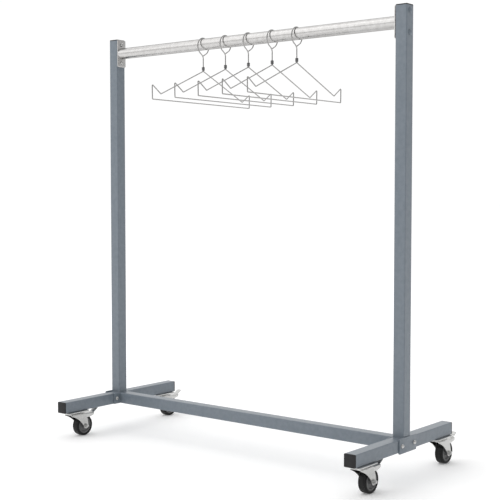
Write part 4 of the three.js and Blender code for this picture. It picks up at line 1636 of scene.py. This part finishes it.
@dataclass
class Studio:
    """The pale floor, the world's light, the lamps and the camera."""

    floor_colour: Colour = (0.97, 0.97, 0.97)
    floor_reach: float = 60.0
    floor_roughness: float = 0.9
    floor_specular: float = 0.1
    glow: float = 0.32
    near_glow: float = 0.1
    glow_start: float = 0.3
    glow_end: float = 3.0
    bright_sky: float = 1.03
    dim_sky: float = 0.4
    bright_side: float = 62.0
    camera_place: tuple[float, float, float] = (2.3280, -2.9021, 0.8869)
    camera_pitch: float = 2.99
    camera_yaw: float = 38.75
    lens: float = 77.84
    sensor: float = 36.0
    far_clip: float = 60.0
    lamps: tuple[Lamp, ...] = (
        Lamp("overhead", (-0.6, 0.6, 4.6), (0, 0, 0.6), 6.0, 65),
        Lamp("key", (-3.6, -5.4, 5.4), (0, 0, 0.9), 7.0, 125),
    )

    def build(self) -> None:
        """Puts the studio round the object."""
        self._floor()
        self._world()
        for lamp in self.lamps:
            lamp.build()
        self._camera()

    def _floor(self) -> None:
        """A wide pale floor that glows faintly far from the rack, so that it fades into the sky."""
        material = bpy.data.materials.new("studio_white")
        material.use_nodes = True
        graph = Graph(material.node_tree)
        shader = material.node_tree.nodes["Principled BSDF"]
        shader.inputs["Base Color"].default_value = (*self.floor_colour, 1)
        shader.inputs["Roughness"].default_value = self.floor_roughness
        shader.inputs["Specular IOR Level"].default_value = self.floor_specular
        distance = graph.add(
            "ShaderNodeVectorMath", {0: graph.add("ShaderNodeTexCoord").outputs["Object"]}, operation="LENGTH"
        )
        glow = graph.ramp(distance.outputs["Value"], self.glow_start, self.glow_end, self.near_glow, self.glow)
        shader.inputs["Emission Strength"].default_value = 1.0
        graph.feed(shader.inputs["Emission Color"], glow)
        mesh = bpy.data.meshes.new("studio_floor")
        reach = self.floor_reach
        corners = [(-reach, -reach, 0), (reach, -reach, 0), (reach, reach, 0), (-reach, reach, 0)]
        mesh.from_pydata(corners, [], [(0, 1, 2, 3)])
        mesh.materials.append(material)
        floor = new_object("studio_floor", mesh)

    def _world(self) -> None:
        """White light from all round, brightest behind the rack and dimmest on its right."""
        world = bpy.data.worlds.new("studio")
        world.use_nodes = True
        graph = Graph(world.node_tree)
        turn = math.radians(self.bright_side)
        ahead = (-math.sin(turn), math.cos(turn), 0.0)
        facing = graph.add(
            "ShaderNodeVectorMath", {0: graph.add("ShaderNodeTexCoord").outputs["Generated"], 1: ahead},
            operation="DOT_PRODUCT",
        )
        strength = graph.add(
            "ShaderNodeMapRange",
            {"Value": facing.outputs["Value"], "From Min": -1.0, "From Max": 0.75, "To Min": self.dim_sky,
             "To Max": self.bright_sky},
        )
        background = world.node_tree.nodes["Background"]
        background.inputs["Color"].default_value = (1, 1, 1, 1)
        graph.feed(background.inputs["Strength"], strength.outputs[0])
        bpy.context.scene.world = world
        bpy.context.scene.view_settings.view_transform = "Standard"

    def _camera(self) -> None:
        """The camera, level but for a small tilt down."""
        data = bpy.data.cameras.new("camera")
        data.lens = self.lens
        data.sensor_width = self.sensor
        data.clip_end = self.far_clip
        camera = new_object("camera", data)
        camera.location = self.camera_place
        camera.rotation_euler = (math.radians(90 - self.camera_pitch), 0, math.radians(self.camera_yaw))
        bpy.context.scene.camera = camera


# ------------------------------------------------------------------ the whole rack


def main() -> None:
    """Builds the rack and the studio."""
    logging.basicConfig(level=logging.INFO, format="%(message)s")
    shop = Workshop()
    parts = [SideFrame(side) for side in Side]
    parts += [BottomBeam(), HangingRail()]
    parts += [Caster(place) for place in Place]
    parts += [Hanger(number) for number in range(1, 6)]
    for part in parts:
        part.build(shop)
    Studio().build()
    LOG.info("%d pieces", shop.count)


if __name__ == "__main__":
    main()
